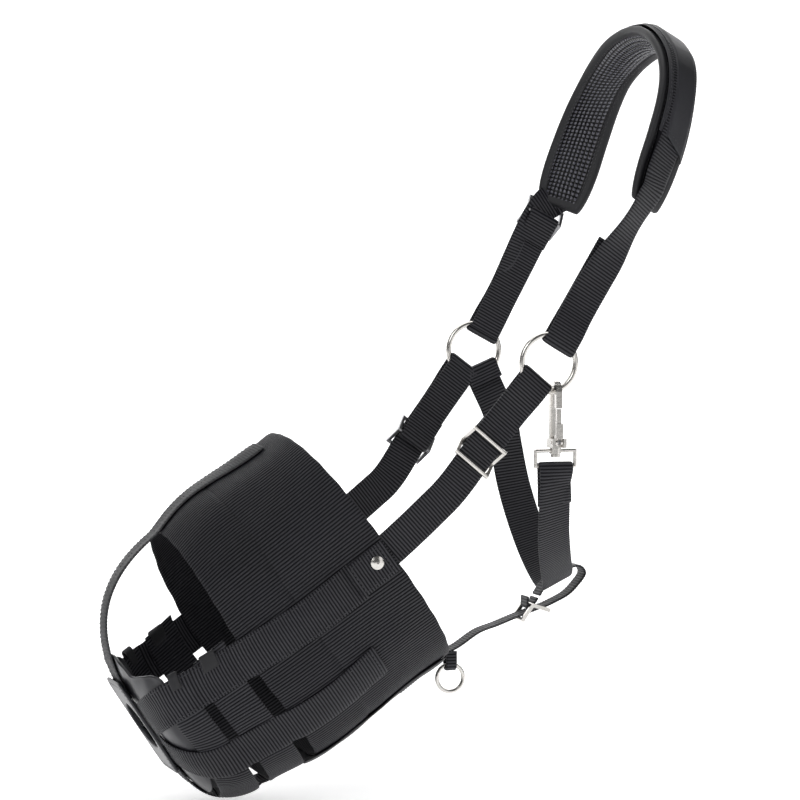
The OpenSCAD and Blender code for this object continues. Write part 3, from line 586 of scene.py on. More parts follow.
def wall_cloth(name, a, s, lift, half, material, loop=False, along=None, across=None):
    """Cloth in place of a CAD node on the basket: a and s are grids of angle and place down it."""
    lift = np.broadcast_to(lift, a.shape)
    mid = from_basket(skin(a, s, lift))
    normal = turn_basket(wall_normal(a, s))
    obj = cloth(name, mid, normal, half, half, [material], "root", loop, along, across)
    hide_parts(name)


# ---- collar

def collar_depth(a):
    ends = np.abs(np.cos(np.radians(a))) ** 1.5
    return mix(COLLAR_SIDE, COLLAR_ENDS, ends) / (BASKET_DEPTH - corner_run(a))


def round_grid(line, step):
    """Angles right round the basket, evenly spaced along line(a)."""
    fine = np.linspace(0, 360, 1441)
    length = run_length(line(fine))
    ribs_round = round(length[-1] / RIB_PITCH)
    count = ribs_round * round(RIB_PITCH / step)
    run = np.arange(count) / count * length[-1]
    return np.interp(run, length, fine), run * ribs_round * RIB_PITCH / length[-1]


SEAM_LAP = 0.002          # overlap of the two bands' rolled edges, as a share of the collar
BAND_HALF_W = 35          # half the width that a band's weave is laid out on


def collar_band(name, share0, share1, hem0, hem1):
    """Webbing right round the mouth: the shares are of the collar's depth, the hems of thickness."""
    a, run = round_grid(lambda f: wall_pt(f, 0.4 * collar_depth(f)), ROW_STEP)
    across = np.concatenate([np.linspace(-1, -0.9, 4), np.linspace(-0.82, 0.82, 13), np.linspace(0.9, 1, 4)])
    share = mix(share0, share1, (across + 1) / 2)
    s = share[None, :] * collar_depth(a)[:, None]
    grid_a = np.broadcast_to(a[:, None], s.shape)
    hem = hem0 * (across < -0.88) + hem1 * (across > 0.88)
    half = rib_height(run, across) * (1 + hem)[None, :]
    fray = 0.12 * np.sin(run / 3.1)[:, None] * (np.abs(across) > 0.97)[None, :]
    wall_cloth(name, grid_a, s + fray / 100, WEB_T / 2, half, COLLAR_WEB, True, run, across * BAND_HALF_W)


collar_band("collar_rim_band", 0, BAND_SPLIT + SEAM_LAP, 0.15, -0.15)
collar_band("collar_lower_band", BAND_SPLIT - SEAM_LAP, 1, -0.15, 0.15)

# ---- straps on the basket

CHEEK_END = 0.215         # where a cheek strap's riveted end stops on the basket's side
END_RISE = 0.35           # how far that end stands above the side strap's line
SIDE_TUCK = 0.9           # how far the side strap sinks under it


def strap_lift(s, dip):
    """A strap's middle above the surface: over the collar and the weave straps, and lower between them."""
    between = np.exp(-((s - 0.835) / 0.03) ** 2) + 0.8 * np.exp(-((s - 1.08) / 0.035) ** 2)
    return LAYER + WEB_T / 2 - dip * between


def down_strap(name, line, w, s0, s1, material=WEBBING, dip=1.3, rise=0.0, tuck=0.0):
    """Strap down the basket along line, a list of [s, angle]. Gives the grid it was made on."""
    fine = np.linspace(s0, s1, 1200)
    stops = [p[0] for p in line]
    angle = hermite(np.clip(fine, stops[0], stops[-1]), stops, [p[1] for p in line])
    length = run_length(wall_pt(angle, fine))
    run = np.linspace(0, length[-1], int(length[-1] / ROW_STEP))
    s = np.interp(run, length, fine)
    a = np.interp(s, fine, angle)
    rate = np.linalg.norm(wall_pt(a + 1, np.minimum(s, 2)) - wall_pt(a - 1, np.minimum(s, 2)), axis=-1) / 2
    u = CROSS[None, :] * (w / 2)
    grid_a = a[:, None] + u / rate[:, None]
    grid_s = np.broadcast_to(s[:, None], grid_a.shape)
    lift = strap_lift(grid_s, dip) + rise - tuck * (1 - smooth_step((grid_s - CHEEK_END) / 0.03))
    on_wall = skin(grid_a, np.minimum(grid_s, 2), lift)
    side = unit(wall_pt(a + 1, 2.0) - wall_pt(a - 1, 2.0))
    on_floor = wall_pt(a, s)[:, None] + u[..., None] * side[:, None] + FLOOR_UP * lift[..., None]
    past = smooth_step((grid_s - 1.92) / 0.08)[..., None]
    mid = from_basket(mix(on_wall, on_floor, past))
    wall_n = wall_normal(grid_a, np.minimum(grid_s, 2))
    normal = turn_basket(unit(mix(wall_n, np.broadcast_to(unit(FLOOR_UP), wall_n.shape), past)))
    half = rib_height(run, CROSS)
    obj = cloth(name, mid, normal, half, half, [material], "root", along=run, across=CROSS * w / 2)
    if rise == 0:
        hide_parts(name)
    return {"mid": mid, "normal": normal, "run": run}


def on_side(side, line):
    """A strap's line on the near side, or its mirror on the far side."""
    return line if side == "near" else [[p[0], 360 - p[1]] for p in line]


SIDE_LINE = [[0, 271.5], [0.5, 270], [0.75, 272.5], [1, 275], [1.45, 278], [2.5, 278]]
LOWER_LINE = [[0.25, 233.5], [0.5, 230.5], [1, 231], [1.5, 230], [2.4, 230]]
side_grid, end_grid, lower_grid = {}, {}, {}
for side in ("near", "far"):
    side_grid[side] = down_strap(side + "_side_strap", on_side(side, SIDE_LINE), SIDE_STRAP_W,
                                 CHEEK_END - 0.02, 2.2, tuck=SIDE_TUCK)
for side in ("near", "far"):
    end_grid[side] = down_strap(side + "_cheek_end", on_side(side, SIDE_LINE), WEB_W,
                                0.01, CHEEK_END, rise=END_RISE)
for side in ("near", "far"):
    lower_grid[side] = down_strap(side + "_lower_strap", on_side(side, LOWER_LINE), WEB_W, 0.31, 2.05)
nose_grid = down_strap("nose_strap", [[0, 0], [3, 0]], WEB_W, 0.14, 2.0, TRIM, 0)
down_strap("chin_centre_strap", [[0, 180], [3, 180]], WEB_W, 0.86, 2.25)

WEAVE_FROM, WEAVE_TO = 72, 288
WEAVE_HALF_W = 14         # half the width that the weave is laid out on
CROSSED_AT = (82, 130, 180, 230, 278)   # angles of the straps that cross over the weave straps


def weave_band(name, s0, s1):
    """Strap round the sides and the chin, whose ends lie over the side straps; their folds are separate tabs.
    """
    a_fine = np.linspace(WEAVE_FROM, WEAVE_TO, 2200)
    middle = (s0 + s1) / 2
    length = run_length(wall_pt(a_fine, middle))
    run = np.linspace(0, length[-1], int(length[-1] / ROW_STEP))
    a = np.interp(run, length, a_fine)
    s = mix(s0, s1, (CROSS + 1) / 2)
    grid_a = np.broadcast_to(a[:, None], (len(a), len(s)))
    grid_s = np.broadcast_to(s[None, :], grid_a.shape)
    swell = np.zeros(len(a))
    for strap_angle in CROSSED_AT:
        swell += np.exp(-((a - strap_angle) / 7) ** 2)
    lift = WEB_T / 2 + 1.1 * (1 - np.clip(swell, 0, 1))
    half = rib_height(run, CROSS)
    wall_cloth(name, grid_a, grid_s, lift[:, None], half, WEBBING, False, run, CROSS * WEAVE_HALF_W)


weave_band("weave_strap_upper", 0.845, 1.03)
weave_band("weave_strap_lower", 1.13, 1.50)

TAB_REACH = -7            # how far a tab's end lies in over its side strap


def wrap_tab(name, side, s0, s1):
    """Smooth folded end of a weave strap round the front edge of a side strap: side is 1 near, -1 far."""
    s = np.linspace(s0, s1, 18)
    edge = np.interp(s, [p[0] for p in SIDE_LINE], [p[1] for p in SIDE_LINE])
    rate = np.linalg.norm(wall_pt(edge + 1, s) - wall_pt(edge - 1, s), axis=-1) / 2
    fold = np.radians(np.linspace(0, 180, 15))
    x = np.concatenate([np.linspace(-9, 0, 6), 0.8 + LAYER * np.sin(fold), np.linspace(-1, TAB_REACH, 8)])
    lift = np.concatenate([np.full(6, WEB_T / 2), WEB_T / 2 + LAYER * (1 - np.cos(fold)),
                           np.full(8, WEB_T / 2 + 2 * LAYER - 0.1)])
    grid_a = edge[:, None] + (SIDE_STRAP_W / 2 + x[None, :]) / rate[:, None]
    if side < 0:
        grid_a = 360 - grid_a
    grid_s = np.broadcast_to(s[:, None], grid_a.shape)
    mid = from_basket(skin(grid_a, grid_s, lift[None, :] * np.ones_like(grid_a)))
    along = unit(np.gradient(mid, axis=1))
    normal = unit(np.cross(along, np.gradient(mid, axis=0)))
    rolled = np.sqrt(np.clip(1 - np.abs(np.linspace(-1, 1, 18)) ** 10, 0.2, 1))[:, None]
    half = 0.65 * rolled * np.ones_like(grid_a)
    cloth(name, mid, normal, half, half, [TRIM], "root")


for tab_side, tab_name in ((1, "near"), (-1, "far")):
    wrap_tab(tab_name + "_upper_wrap", tab_side, 0.905, 0.985)
    wrap_tab(tab_name + "_lower_wrap", tab_side, 1.2, 1.3)


FACING_TURN = 25          # degrees that the facing reaches each way from the chin
FACING_FROM, FACING_TO = 0.03, 0.84


def chin_facing():
    """Smooth facing over the chin side of the collar, wavy where it is sewn."""
    a = np.linspace(180 - FACING_TURN, 180 + FACING_TURN, 120)
    s = np.linspace(FACING_FROM, FACING_TO, 60)
    grid_a, grid_s = np.meshgrid(a, s, indexing="ij")
    puff = 0.35 * np.sin(np.radians(grid_a) * 46) * np.sin(grid_s * 19)
    lift = LAYER + WEB_T / 2 + puff
    u = (grid_a - 180) / FACING_TURN
    v = (2 * grid_s - FACING_FROM - FACING_TO) / (FACING_TO - FACING_FROM)
    edge = np.sqrt(np.clip(1 - np.maximum(np.abs(u), np.abs(v)) ** 30, 0.25, 1))
    wall_cloth("chin_panel", grid_a, grid_s, lift, WEB_T / 2 * edge, TRIM, along=grid_a,
               across=grid_s * 100)


chin_facing()

# ---- floor


def panel_edge(a):
    c = np.cos(np.radians(a))
    return 1.4 + 0.36 * smooth_step((c - 0.35) / 0.4) + 0.2 * np.maximum(0, -c)


def hole_pt(a, r):
    c, n = np.cos(np.radians(a)), np.sin(np.radians(a))
    return FLOOR_MID + vec(r * c, r * n, -FLOOR_SLOPE * r * c)


def floor_panel():
    """Moulded floor with a rounded rim, which runs up the wall to the windows."""
    a = np.arange(0, 360, 1.0)
    k = np.concatenate([np.linspace(0, 0.5, 9)[:-1], np.linspace(0.5, 4, 22), np.linspace(4, 6, 16)[1:]])
    grid_a, grid_k = np.meshgrid(a, k, indexing="ij")
    s = mix(panel_edge(grid_a), 2, np.clip(grid_k / 4, 0, 1))
    wall = skin(grid_a, s, 0)
    flat = mix(wall_pt(grid_a, 2.0), hole_pt(grid_a, FEED_HOLE_R), np.clip((grid_k - 4) / 2, 0, 1)[..., None])
    on_floor = (grid_k > 4)[..., None]
    n = np.where(on_floor, unit(FLOOR_UP), wall_normal(grid_a, s))
    tuck = -LAYER * (1 - smooth_step((s - 1.5) / 0.12))
    rim = 0.5 * np.exp(-(grid_k / 0.18) ** 2)
    mid = np.where(on_floor, flat, wall) + n * (WEB_T / 2 + tuck)[..., None]
    half = (WEB_T / 2 - 0.1 + rim) * np.sqrt(np.clip(grid_k / 0.12, 0.1, 1))
    obj = cloth("floor_panel", from_basket(mid), turn_basket(n), half, half, [RUBBER], "root",
                True)
    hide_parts("floor_panel")


PATCH_LONG, PATCH_WIDE, PATCH_T = 78, 44, 2.4
PATCH_SEAM = 3.4          # distance of its sewing from its edge


def patch_edge(a, inset):
    """Point on the patch's rounded outline at angle a, moved in by inset."""
    c, n = np.cos(a), np.sin(a)
    p, q = PATCH_LONG / 2 - inset, PATCH_WIDE / 2 - inset
    r = ((np.abs(c) / p) ** 9 + (np.abs(n) / q) ** 9) ** (-1 / 9)
    return vec(r * c, r * n, 0)


def floor_patch():
    """Raised stiffener over the strap ends, with a stitched border and the feed hole."""
    a = np.radians(np.arange(0, 360, 1.5))
    k = np.concatenate([np.linspace(0, 0.12, 6)[:-1], np.linspace(0.12, 0.88, 14),
                        np.linspace(0.88, 1, 6)[1:]])
    grid_a, grid_k = np.meshgrid(a, k, indexing="ij")
    hole = vec(FEED_HOLE_R * np.cos(grid_a), FEED_HOLE_R * np.sin(grid_a), 0)
    edge = patch_edge(grid_a, 0)
    flat = mix(edge, hole, grid_k[..., None])
    groove = 0.35 * np.exp(-((grid_k - 0.2) / 0.03) ** 2)
    base = 2 * LAYER + PATCH_T / 2
    mid = flat + FLOOR_MID + FLOOR_UP * base
    mid[..., 2] -= FLOOR_SLOPE * flat[..., 0]
    half = PATCH_T / 2 * np.sqrt(np.clip(1 - np.abs(2 * grid_k - 1) ** 16, 0.15, 1)) - groove
    n = np.broadcast_to(unit(FLOOR_UP), mid.shape)
    obj = cloth("floor_patch", from_basket(mid), turn_basket(n), half, half, [RUBBER], "root",
                True)
    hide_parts("floor_patch")
    seam = patch_edge(a, PATCH_SEAM)
    line = seam + FLOOR_MID + FLOOR_UP * (base + PATCH_T / 2 - 0.1)
    line[:, 2] -= FLOOR_SLOPE * seam[:, 0]
    up = turn_basket(np.broadcast_to(unit(FLOOR_UP), line.shape))
    stitches("patch_stitching", [(from_basket(line), up)])


floor_panel()
floor_patch()

# ---- straps at the sides of the head


def direction(angle):
    return np.array([math.cos(math.radians(angle)), 0, math.sin(math.radians(angle))])


def across_dir(angle):
    return np.array([-math.sin(math.radians(angle)), 0, math.cos(math.radians(angle))])


def out_pt(ring, angle, side, run, h=0.0):
    return ring + run * direction(angle) + np.array([0, side * h, 0])


def settled(run):
    """0 where a strap's two layers still stand apart at the ring, 1 where they lie together."""
    return float(smooth_step((run - 22) / 24))


def inner_h(run):
    return mix(FOLD_H, RETURN_IN, settled(run))


def fold_rows(ring, angle, side, inner_end):
    """Rows from a strap's outer layer, round its fold in the ring, to its inner end."""
    rows = [[out_pt(ring, angle, side, run, FOLD_H * (1 - settled(run))), across_dir(angle)]
            for run in (46, 40, 34, 28, 22)]
    for b in np.radians(np.arange(90, -91, -15)):
        rows.append([out_pt(ring, angle, side, FOLD_AT - FOLD_H * math.cos(b), FOLD_H * math.sin(b)),
                     across_dir(angle)])
    for run in np.arange(19, inner_end + 0.1, 7):
        rows.append([out_pt(ring, angle, side, run, -inner_h(run)), across_dir(angle)])
    return rows


def side_wall(x, z, side, off):
    """Point off the basket's side wall: x and z are along the mouth and down from it."""
    a = 270 + math.degrees(math.atan(x / (MOUTH_WIDE / 2)))
    s = z / (BASKET_DEPTH - SIDE_CORNER)
    p = wall_pt(a, s) + off * wall_normal(np.float64(a), np.float64(s))
    return from_basket(np.array([p[0], side * abs(p[1]), p[2]]))


def cheek_strap(name, ring, angle, side, run, rivet_x):
    """From the rivet inside the collar, past the slide's run, to the fold in the ring."""
    inside = -CLOTH_GAP - WEB_T / 2
    end = side_wall(rivet_x, RIVET_DEPTH + 20, side, inside)
    pin = side_wall(rivet_x, RIVET_DEPTH, side, inside)
    rim = side_wall(rivet_x + 1, 0.5, side, inside)
    straight = out_pt(ring, angle, side, run + TRAVEL_DOWN + 12)
    middle = curve([straight, mix(straight, rim, 0.55) + [0, side * 1.2, 0], rim, pin, end], 16)
    line = np.array([end] + middle[15::-1] + [out_pt(ring, angle, side, run)])
    tangent = unit(np.gradient(line, axis=0))
    rows = [[p, unit(np.cross([0, 1, 0], t))] for p, t in zip(line, tangent)]
    obj, grid = strap(name, rows + fold_rows(ring, angle, side, 0), WEB_W)
    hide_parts(name)


def return_rows(ring, angle, side, run):
    """The inner layer from the ring's fold to the slide, round its centre bar and back."""
    wrap = BAR_R + 0.3 + WEB_T / 2
    tail = 22
    rows = [[out_pt(ring, angle, side, at, -inner_h(at)), across_dir(angle)]
            for at in np.linspace(FOLD_AT, run, 12)]
    for b in np.radians(np.arange(67.5, -91, -22.5)):
        rows.append([out_pt(ring, angle, side, run + wrap * math.cos(b), -BAR_IN + wrap * math.sin(b)),
                     across_dir(angle)])
    for k in (0.25, 0.5, 0.75, 1):
        h = mix(-BAR_IN - wrap, -RETURN_IN - LAYER, float(smooth_step(k)))
        rows.append([out_pt(ring, angle, side, run - tail * k, h), across_dir(angle)])
    return rows


def strap_return(name, ring, angle, side, run, body):
    """The inner layer as a piece of its own, baked in place and on no body."""
    obj, grid = strap(name, return_rows(ring, angle, side, run), WEB_W - 1, None, twist=0)
    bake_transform(obj)
    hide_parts(name)


HEAD_STRAPS = (("near", NEAR_RING, NEAR_CHEEK_ANGLE, -1, NEAR_SLIDE_RUN, NEAR_RIVET_X),
               ("far", FAR_RING, FAR_CHEEK_ANGLE, 1, FAR_SLIDE_RUN, FAR_RIVET_X))
for side, *place, rivet_x in HEAD_STRAPS:
    cheek_strap(side + "_cheek_strap", *place, rivet_x)
for side, *place, rivet_x in HEAD_STRAPS:
    strap_return(side + "_cheek_return", *place, side + "_slide_body")
strap_return("crown_return", FAR_RING, FAR_CROWN_ANGLE, 1, CROWN_SLIDE_RUN, "crown_slide_body")

# ---- crown pad
# t runs along the arch from 0 at the near end to 16 at the far end; v across it from -1 to 1.


def whole_arch(half):
    return [[p[0], -p[1], p[2]] for p in half] + [list(p) for p in half[-2::-1]]


FRONT_EDGE, REAR_EDGE = whole_arch(FRONT_HALF), whole_arch(REAR_HALF)


def arch_pt(t, v):
    t, v = np.broadcast_arrays(np.asarray(t, float), np.asarray(v, float))
    return mix(catmull_rom(FRONT_EDGE, t), catmull_rom(REAR_EDGE, t), ((v + 1) / 2)[..., None])


def arch_across(t):
    t = np.asarray(t, float)
    return unit(catmull_rom(REAR_EDGE, t) - catmull_rom(FRONT_EDGE, t))


def arch_normal(t):
    lo, hi = np.maximum(0, t - 0.2), np.minimum(ARCH_END, t + 0.2)
    return unit(np.cross(arch_across(t), arch_pt(hi, 0) - arch_pt(lo, 0)))


def pad_pt(t, v, h):
    h = np.broadcast_to(h, np.broadcast_shapes(np.shape(t), np.shape(v), np.shape(h)))
    return arch_pt(t, v) + h[..., None] * arch_normal(t)


END_ROUND = 0.75          # rounding of the pad's ends, along the arch
END_NARROW = 0.3          # share of the width lost at the very end
EDGE_HALF = 2.9           # half thickness at the bound edge


def crown_pad():
    """Crowned pad: woven vinyl lining inside, smooth cover outside, tape bound round its edge."""
    t_fine = np.linspace(0.04, ARCH_END - 0.04, 1600)
    length = run_length(arch_pt(t_fine, 0))
    rows = int(length[-1] / (CELL / 4))
    run = np.linspace(0, length[-1], rows)
    t = np.interp(run, length, t_fine)
    half_w = np.linalg.norm(catmull_rom(REAR_EDGE, t) - catmull_rom(FRONT_EDGE, t), axis=-1) / 2
    e = np.minimum(t, ARCH_END - t)
    narrow = 1 - END_NARROW * (1 - np.sqrt(1 - (1 - np.clip(e / END_ROUND, 0, 1)) ** 2))
    edge_steps = np.concatenate([[0, 0.4, 1.0, 1.8, 3, 4.5], BINDING_W + np.array([-1.1, -0.6, -0.2, 0.4])])
    share = np.linspace(0, 1, 72)
    face_in = BINDING_W + 1.3
    grid_y = np.array([np.concatenate([-w + edge_steps, mix(-w + face_in, w - face_in, share),
                                       (w - edge_steps)[::-1]]) for w in half_w * narrow])
    grid_v = grid_y / half_w[:, None]
    grid_t = np.broadcast_to(t[:, None], grid_v.shape)
    grid_run = np.broadcast_to(run[:, None], grid_v.shape)
    to_side = (half_w * narrow)[:, None] - np.abs(grid_y)
    end_run = np.minimum(grid_run, length[-1] - grid_run)
    d = np.minimum(to_side, end_run)
    round_edge = np.sqrt(np.clip(1 - (1 - np.clip(d / 2.6, 0, 1)) ** 2, 0.0, 1))
    tape = EDGE_HALF * np.clip(round_edge, 0.06, 1)
    sunk = EDGE_HALF - 0.9
    filled = sunk + (PAD_HALF_T - sunk) * (1 - np.exp(-np.clip(d - BINDING_W, 0, 60) / 5.5))
    inside = smooth_step((d - BINDING_W + 0.5) / 1.0)
    tuft = 0.25 * np.sin(grid_run / 17) * np.sin(grid_y / 11)
    out_h = mix(tape, filled + tuft * inside, inside)
    cell_u, cell_v = grid_run / CELL, grid_y / CELL
    block = (np.abs(np.sin(np.pi * cell_u)) * np.abs(np.sin(np.pi * cell_v))) ** 0.42
    under = ((np.floor(cell_u) + np.floor(cell_v)) % 2) * 0.16
    weave = CELL_DEPTH * (block - under * block - 0.5)
    in_h = mix(tape, filled + weave, inside)
    mid = pad_pt(grid_t, grid_v, 0)
    normal = np.broadcast_to(arch_normal(t)[:, None], mid.shape)
    zone = (d[:-1] > BINDING_W).astype(int)
    face_zone = np.concatenate([zone, 2 * zone[:, ::-1]], axis=1)
    obj = cloth("crown_pad", mid, normal, out_h, in_h, [TRIM, SLEEVE, LINING], "root",
                along=grid_run, across=grid_y, face_material=face_zone)
    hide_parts("pad_core", "pad_lining", "pad_cover", "pad_binding")
    paths = []
    for height, sign in ((out_h, 1), (in_h, -1)):
        for edge in (-1, 1):
            stop = slice(16, rows - 16)
            y = edge * (half_w * narrow - BINDING_W + 1.6)
            points = pad_pt(t, y / half_w, sign * (EDGE_HALF - 0.05))[stop]
            paths.append((points, sign * arch_normal(t)[stop]))
    stitches("pad_binding_stitching", paths)


crown_pad()

STRAP_OVER = PAD_HALF_T + CLOTH_GAP + WEB_T / 2
OVER_FROM = 0.5
NEAR_STRAIGHT = 58
FAR_STRAIGHT = CROWN_SLIDE_RUN + SLIDE_LONG / 2 + 1
SLEEVE_FROM = 1.7
SIDE_TWIST = 0.38         # how far the near strap turns edge-on below the pad
TWIST_FROM = 0.3          # share of its free run where that turn begins


def over_pt(t):
    """Middle of the strap over the pad; at the near end it leaves the pad towards its front edge."""
    drift = -0.34 * (1 - float(smooth_step((t - OVER_FROM) / 2.4)))
    return pad_pt(np.float64(t), np.float64(drift), np.float64(STRAP_OVER))


def side_rows(ring, angle, side, run, t, inner_t, count):
    """Rows of the crown strap from its straight part at a ring to the pad."""
    points = [out_pt(ring, angle, side, run - 12), out_pt(ring, angle, side, run),
              over_pt(t), over_pt(inner_t)]
    rows = []
    for i in range(count):
        width = unit(mix(-across_dir(angle), arch_across(np.float64(t)), i / count))
        if side < 0:
            free = max(0, i / count - TWIST_FROM) / (1 - TWIST_FROM)
            width = unit(width + np.array([0, SIDE_TWIST * math.sin(math.pi * free) ** 2, 0]))
        rows.append([catmull_rom(points, np.array([1 + i / count]))[0], width])
    return rows


def crown_strap():
    near_up = [[p, -w] for p, w in fold_rows(NEAR_RING, NEAR_CROWN_ANGLE, -1, 99)]
    far_up = [[p, -w] for p, w in fold_rows(FAR_RING, FAR_CROWN_ANGLE, 1, 0)]
    over = [[over_pt(t), arch_across(np.float64(t))]
            for t in np.linspace(OVER_FROM, ARCH_END - OVER_FROM, 41)]
    rows = (near_up[::-1]
            + side_rows(NEAR_RING, NEAR_CROWN_ANGLE, -1, NEAR_STRAIGHT, OVER_FROM, OVER_FROM + 0.4, 10)
            + over
            + side_rows(FAR_RING, FAR_CROWN_ANGLE, 1, FAR_STRAIGHT, ARCH_END - OVER_FROM,
                        ARCH_END - OVER_FROM - 0.4, 6)[::-1]
            + far_up)
    obj, grid = strap("crown_strap", rows, WEB_W)
    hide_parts("crown_strap")


crown_strap()


def pad_sleeve():
    """Smooth sleeve over the strap, raised over it and sewn down beside it, with slanted mouths."""
    v = np.linspace(-0.9, 0.9, 61)
    slant = 0.42 * v
    rows = 320
    k = np.linspace(0, 1, rows)[:, None]
    grid_t = mix(SLEEVE_FROM - slant[None, :], ARCH_END - SLEEVE_FROM + slant[None, :], k)
    grid_v = np.broadcast_to(v[None, :] * 0.9, grid_t.shape)
    over = 1 - smooth_step((np.abs(v) - 0.5) / 0.22)
    lift = mix(PAD_HALF_T + 0.25, PAD_HALF_T + WEB_T + 1.5 * CLOTH_GAP, over)
    sag = -0.35 * np.abs(np.sin(k * 47)) * over[None, :] * 0.4
    fade = np.exp(-((np.abs(v) - 0.9) / 0.12) ** 2)
    grid_h = lift[None, :] + sag + 0.5 - 1.6 * fade[None, :]
    mid = arch_pt(grid_t, grid_v) + grid_h[..., None] * arch_normal(grid_t)
    normal = arch_normal(grid_t)
    edge = np.sqrt(np.clip(1 - np.abs(v / 0.9) ** 14, 0.2, 1))[None, :]
    half = 0.5 * edge * np.ones_like(grid_t)
    obj = cloth("pad_sleeve", mid, normal, half, half, [SLEEVE], "root")
    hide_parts("pad_sleeve")
    paths = []
    for j in (3, 5, 55, 57):
        paths.append((mid[4:-4, j] + normal[4:-4, j] * 0.5, normal[4:-4, j]))
    for i in (4, rows - 5):
        paths.append((mid[i, 4:-4] + normal[i, 4:-4] * 0.5, normal[i, 4:-4]))
    stitches("sleeve_stitching", paths)


pad_sleeve()

# ---- throat strap

THROAT_LINE = [[-79.5, 88, -280], [-76.5, 86, -300], [-74, 79, -324], [-71.5, 65, -348], [-70, 44, -370],
               [-69.5, 20, -386], [-71, -2, -391.5], [-77, -24, -386], [-87, -46, -372], [-96, -66, -353],
               [-101, -80, -333], [-103, -87.5, -315]]


def throat_strap():
    line = curve([out_pt(FAR_RING, THROAT_ANGLE, 1, 46)] + [np.array(p, float) for p in THROAT_LINE], 44)
    n = len(line)
    rows = fold_rows(FAR_RING, THROAT_ANGLE, 1, 30)[::-1]
    along_x = np.array([1, 0, 0])
    for i in range(1, n):
        lean = 0.4 * max(0, i / n - 0.4)
        curl = 0.35 * math.sin(math.pi * i / (n - 1)) ** 2
        width = mix(across_dir(THROAT_ANGLE), along_x, float(smooth_step(i / n))) + np.array([0, lean, curl])
        rows.append([line[i], unit(width)])
    wrap = EYE_BAR_R + 0.3 + WEB_T / 2
    for b in np.radians(np.arange(180, -1, -20)):
        rows.append([EYE + [0, wrap * math.cos(b), wrap * math.sin(b)], along_x])
    for p in (EYE + [0, wrap - 0.1, -8], np.array([-103, -85.3, -315]), np.array([-101.3, -81.4, -327])):
        rows.append([p, along_x])
    obj, grid = strap("throat_strap", rows, WEB_W)
    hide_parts("throat_strap")
    return grid


throat_grid = throat_strap()

# ---- chin strap

RIM_CHIN = from_basket(np.array([-MOUTH_LONG / 2 - 2 * LAYER - 1.6, 0, 3]))
CHIN_TAIL = from_basket(np.array([-MOUTH_LONG / 2 - 2 * LAYER - 1.2, 0, 40]))
KEEPER_MID = RIM_CHIN + [10.5, 0, -3.5]
KEEPER_RISE = 9.9         # from the chin ring's wire up to the strap
CHIN_LOOP = [[-62.5, 0, -400.5], [-53.5, 0, -392], [-49, 0, -385], [-52.5, 0, -380], [-59.5, 0, -380.5],
             [-70.5, 0, -385.5], [-79.5, 0, -393], [-84.5, 0, -400.5]]


def chin_pt(run, h=0.0):
    sin, cos = math.sin(CHIN_SLIDE_ANGLE), math.cos(CHIN_SLIDE_ANGLE)
    return CHIN_SLIDE_AT + run * np.array([cos, 0, sin]) + h * np.array([-sin, 0, cos])


def chin_strip(name, points, w, **options):
    return strap(name, [[np.array(p, float), np.array([0.0, 1, 0])] for p in points], w, **options)


def chin_strap():
    first = curve([CHIN_TAIL, mix(CHIN_TAIL, RIM_CHIN, 0.6), RIM_CHIN + [2, 0, 3], np.array([-146, 0, -435]),
                   np.array([-131, 0, -425.5]), np.array([-116.5, 0, -420.7]), chin_pt(-14)], 30)
    loop = curve([chin_pt(13)] + [np.array(p, float) for p in CHIN_LOOP], 26)
    obj, grid = chin_strip("chin_strap", first + [chin_pt(-5), chin_pt(5)] + loop, CHIN_WEB_W)
    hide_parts("chin_strap")


def chin_return():
    wrap = BAR_R + 0.3 + WEB_T / 2
    bar = chin_pt(0, BAR_IN)
    start = np.array([-85.8, 0, -402])
    points = [start, mix(start, bar + [wrap, 0, 0.6], 0.6)]
    for b in np.radians(np.arange(20, -191, -15)):
        points.append(bar + wrap * np.array([math.cos(b), 0, math.sin(b)]))
    points.append(bar + [-2.4, 0, 6])
    obj, grid = chin_strip("chin_return", points, CHIN_WEB_W - 1, body="chin_slide_body", twist=0)
    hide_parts("chin_return")


def ring_keeper():
    """Small loop under the chin strap, which holds the chin ring."""
    wrap = CHIN_RING_WIRE / 2 + 1.3 + WEB_T / 2
    points = [[0, -wrap, KEEPER_RISE], [0, -wrap, KEEPER_RISE / 2]]
    points += [[0, wrap * math.cos(b), wrap * math.sin(b)] for b in np.radians(np.arange(180, 361, 15))]
    points += [[0, wrap, KEEPER_RISE / 2], [0, wrap, KEEPER_RISE]]
    rows = [[KEEPER_MID + p, np.array([1.0, 0, 0])] for p in points]
    obj, grid = strap("ring_keeper", rows, KEEPER_W, twist=0)
    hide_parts("ring_keeper")


chin_strap()
chin_return()
ring_keeper()

# ---- sewing

for side in ("near", "far"):
    end_run = end_grid[side]["run"][-1]
    stitches(side + "_cheek_stitching", [stitch_path(side_grid[side], u, 12, 330) for u in (-0.86, 0.86)]
             + box_stitch(end_grid[side], 4, end_run - 3))
for side in ("near", "far"):
    stitches(side + "_lower_stitching",
             box_stitch(lower_grid[side], 4, 24) + box_stitch(lower_grid[side], 150, 172))
stitches("nose_stitching", [stitch_path(nose_grid, u, 2, nose_grid["run"][-1] - 4) for u in (-0.86, 0, 0.86)])
throat_run = throat_grid["run"][-1]
stitches("throat_stitching", box_stitch(throat_grid, throat_run - 74, throat_run - 42))

# ---- metal

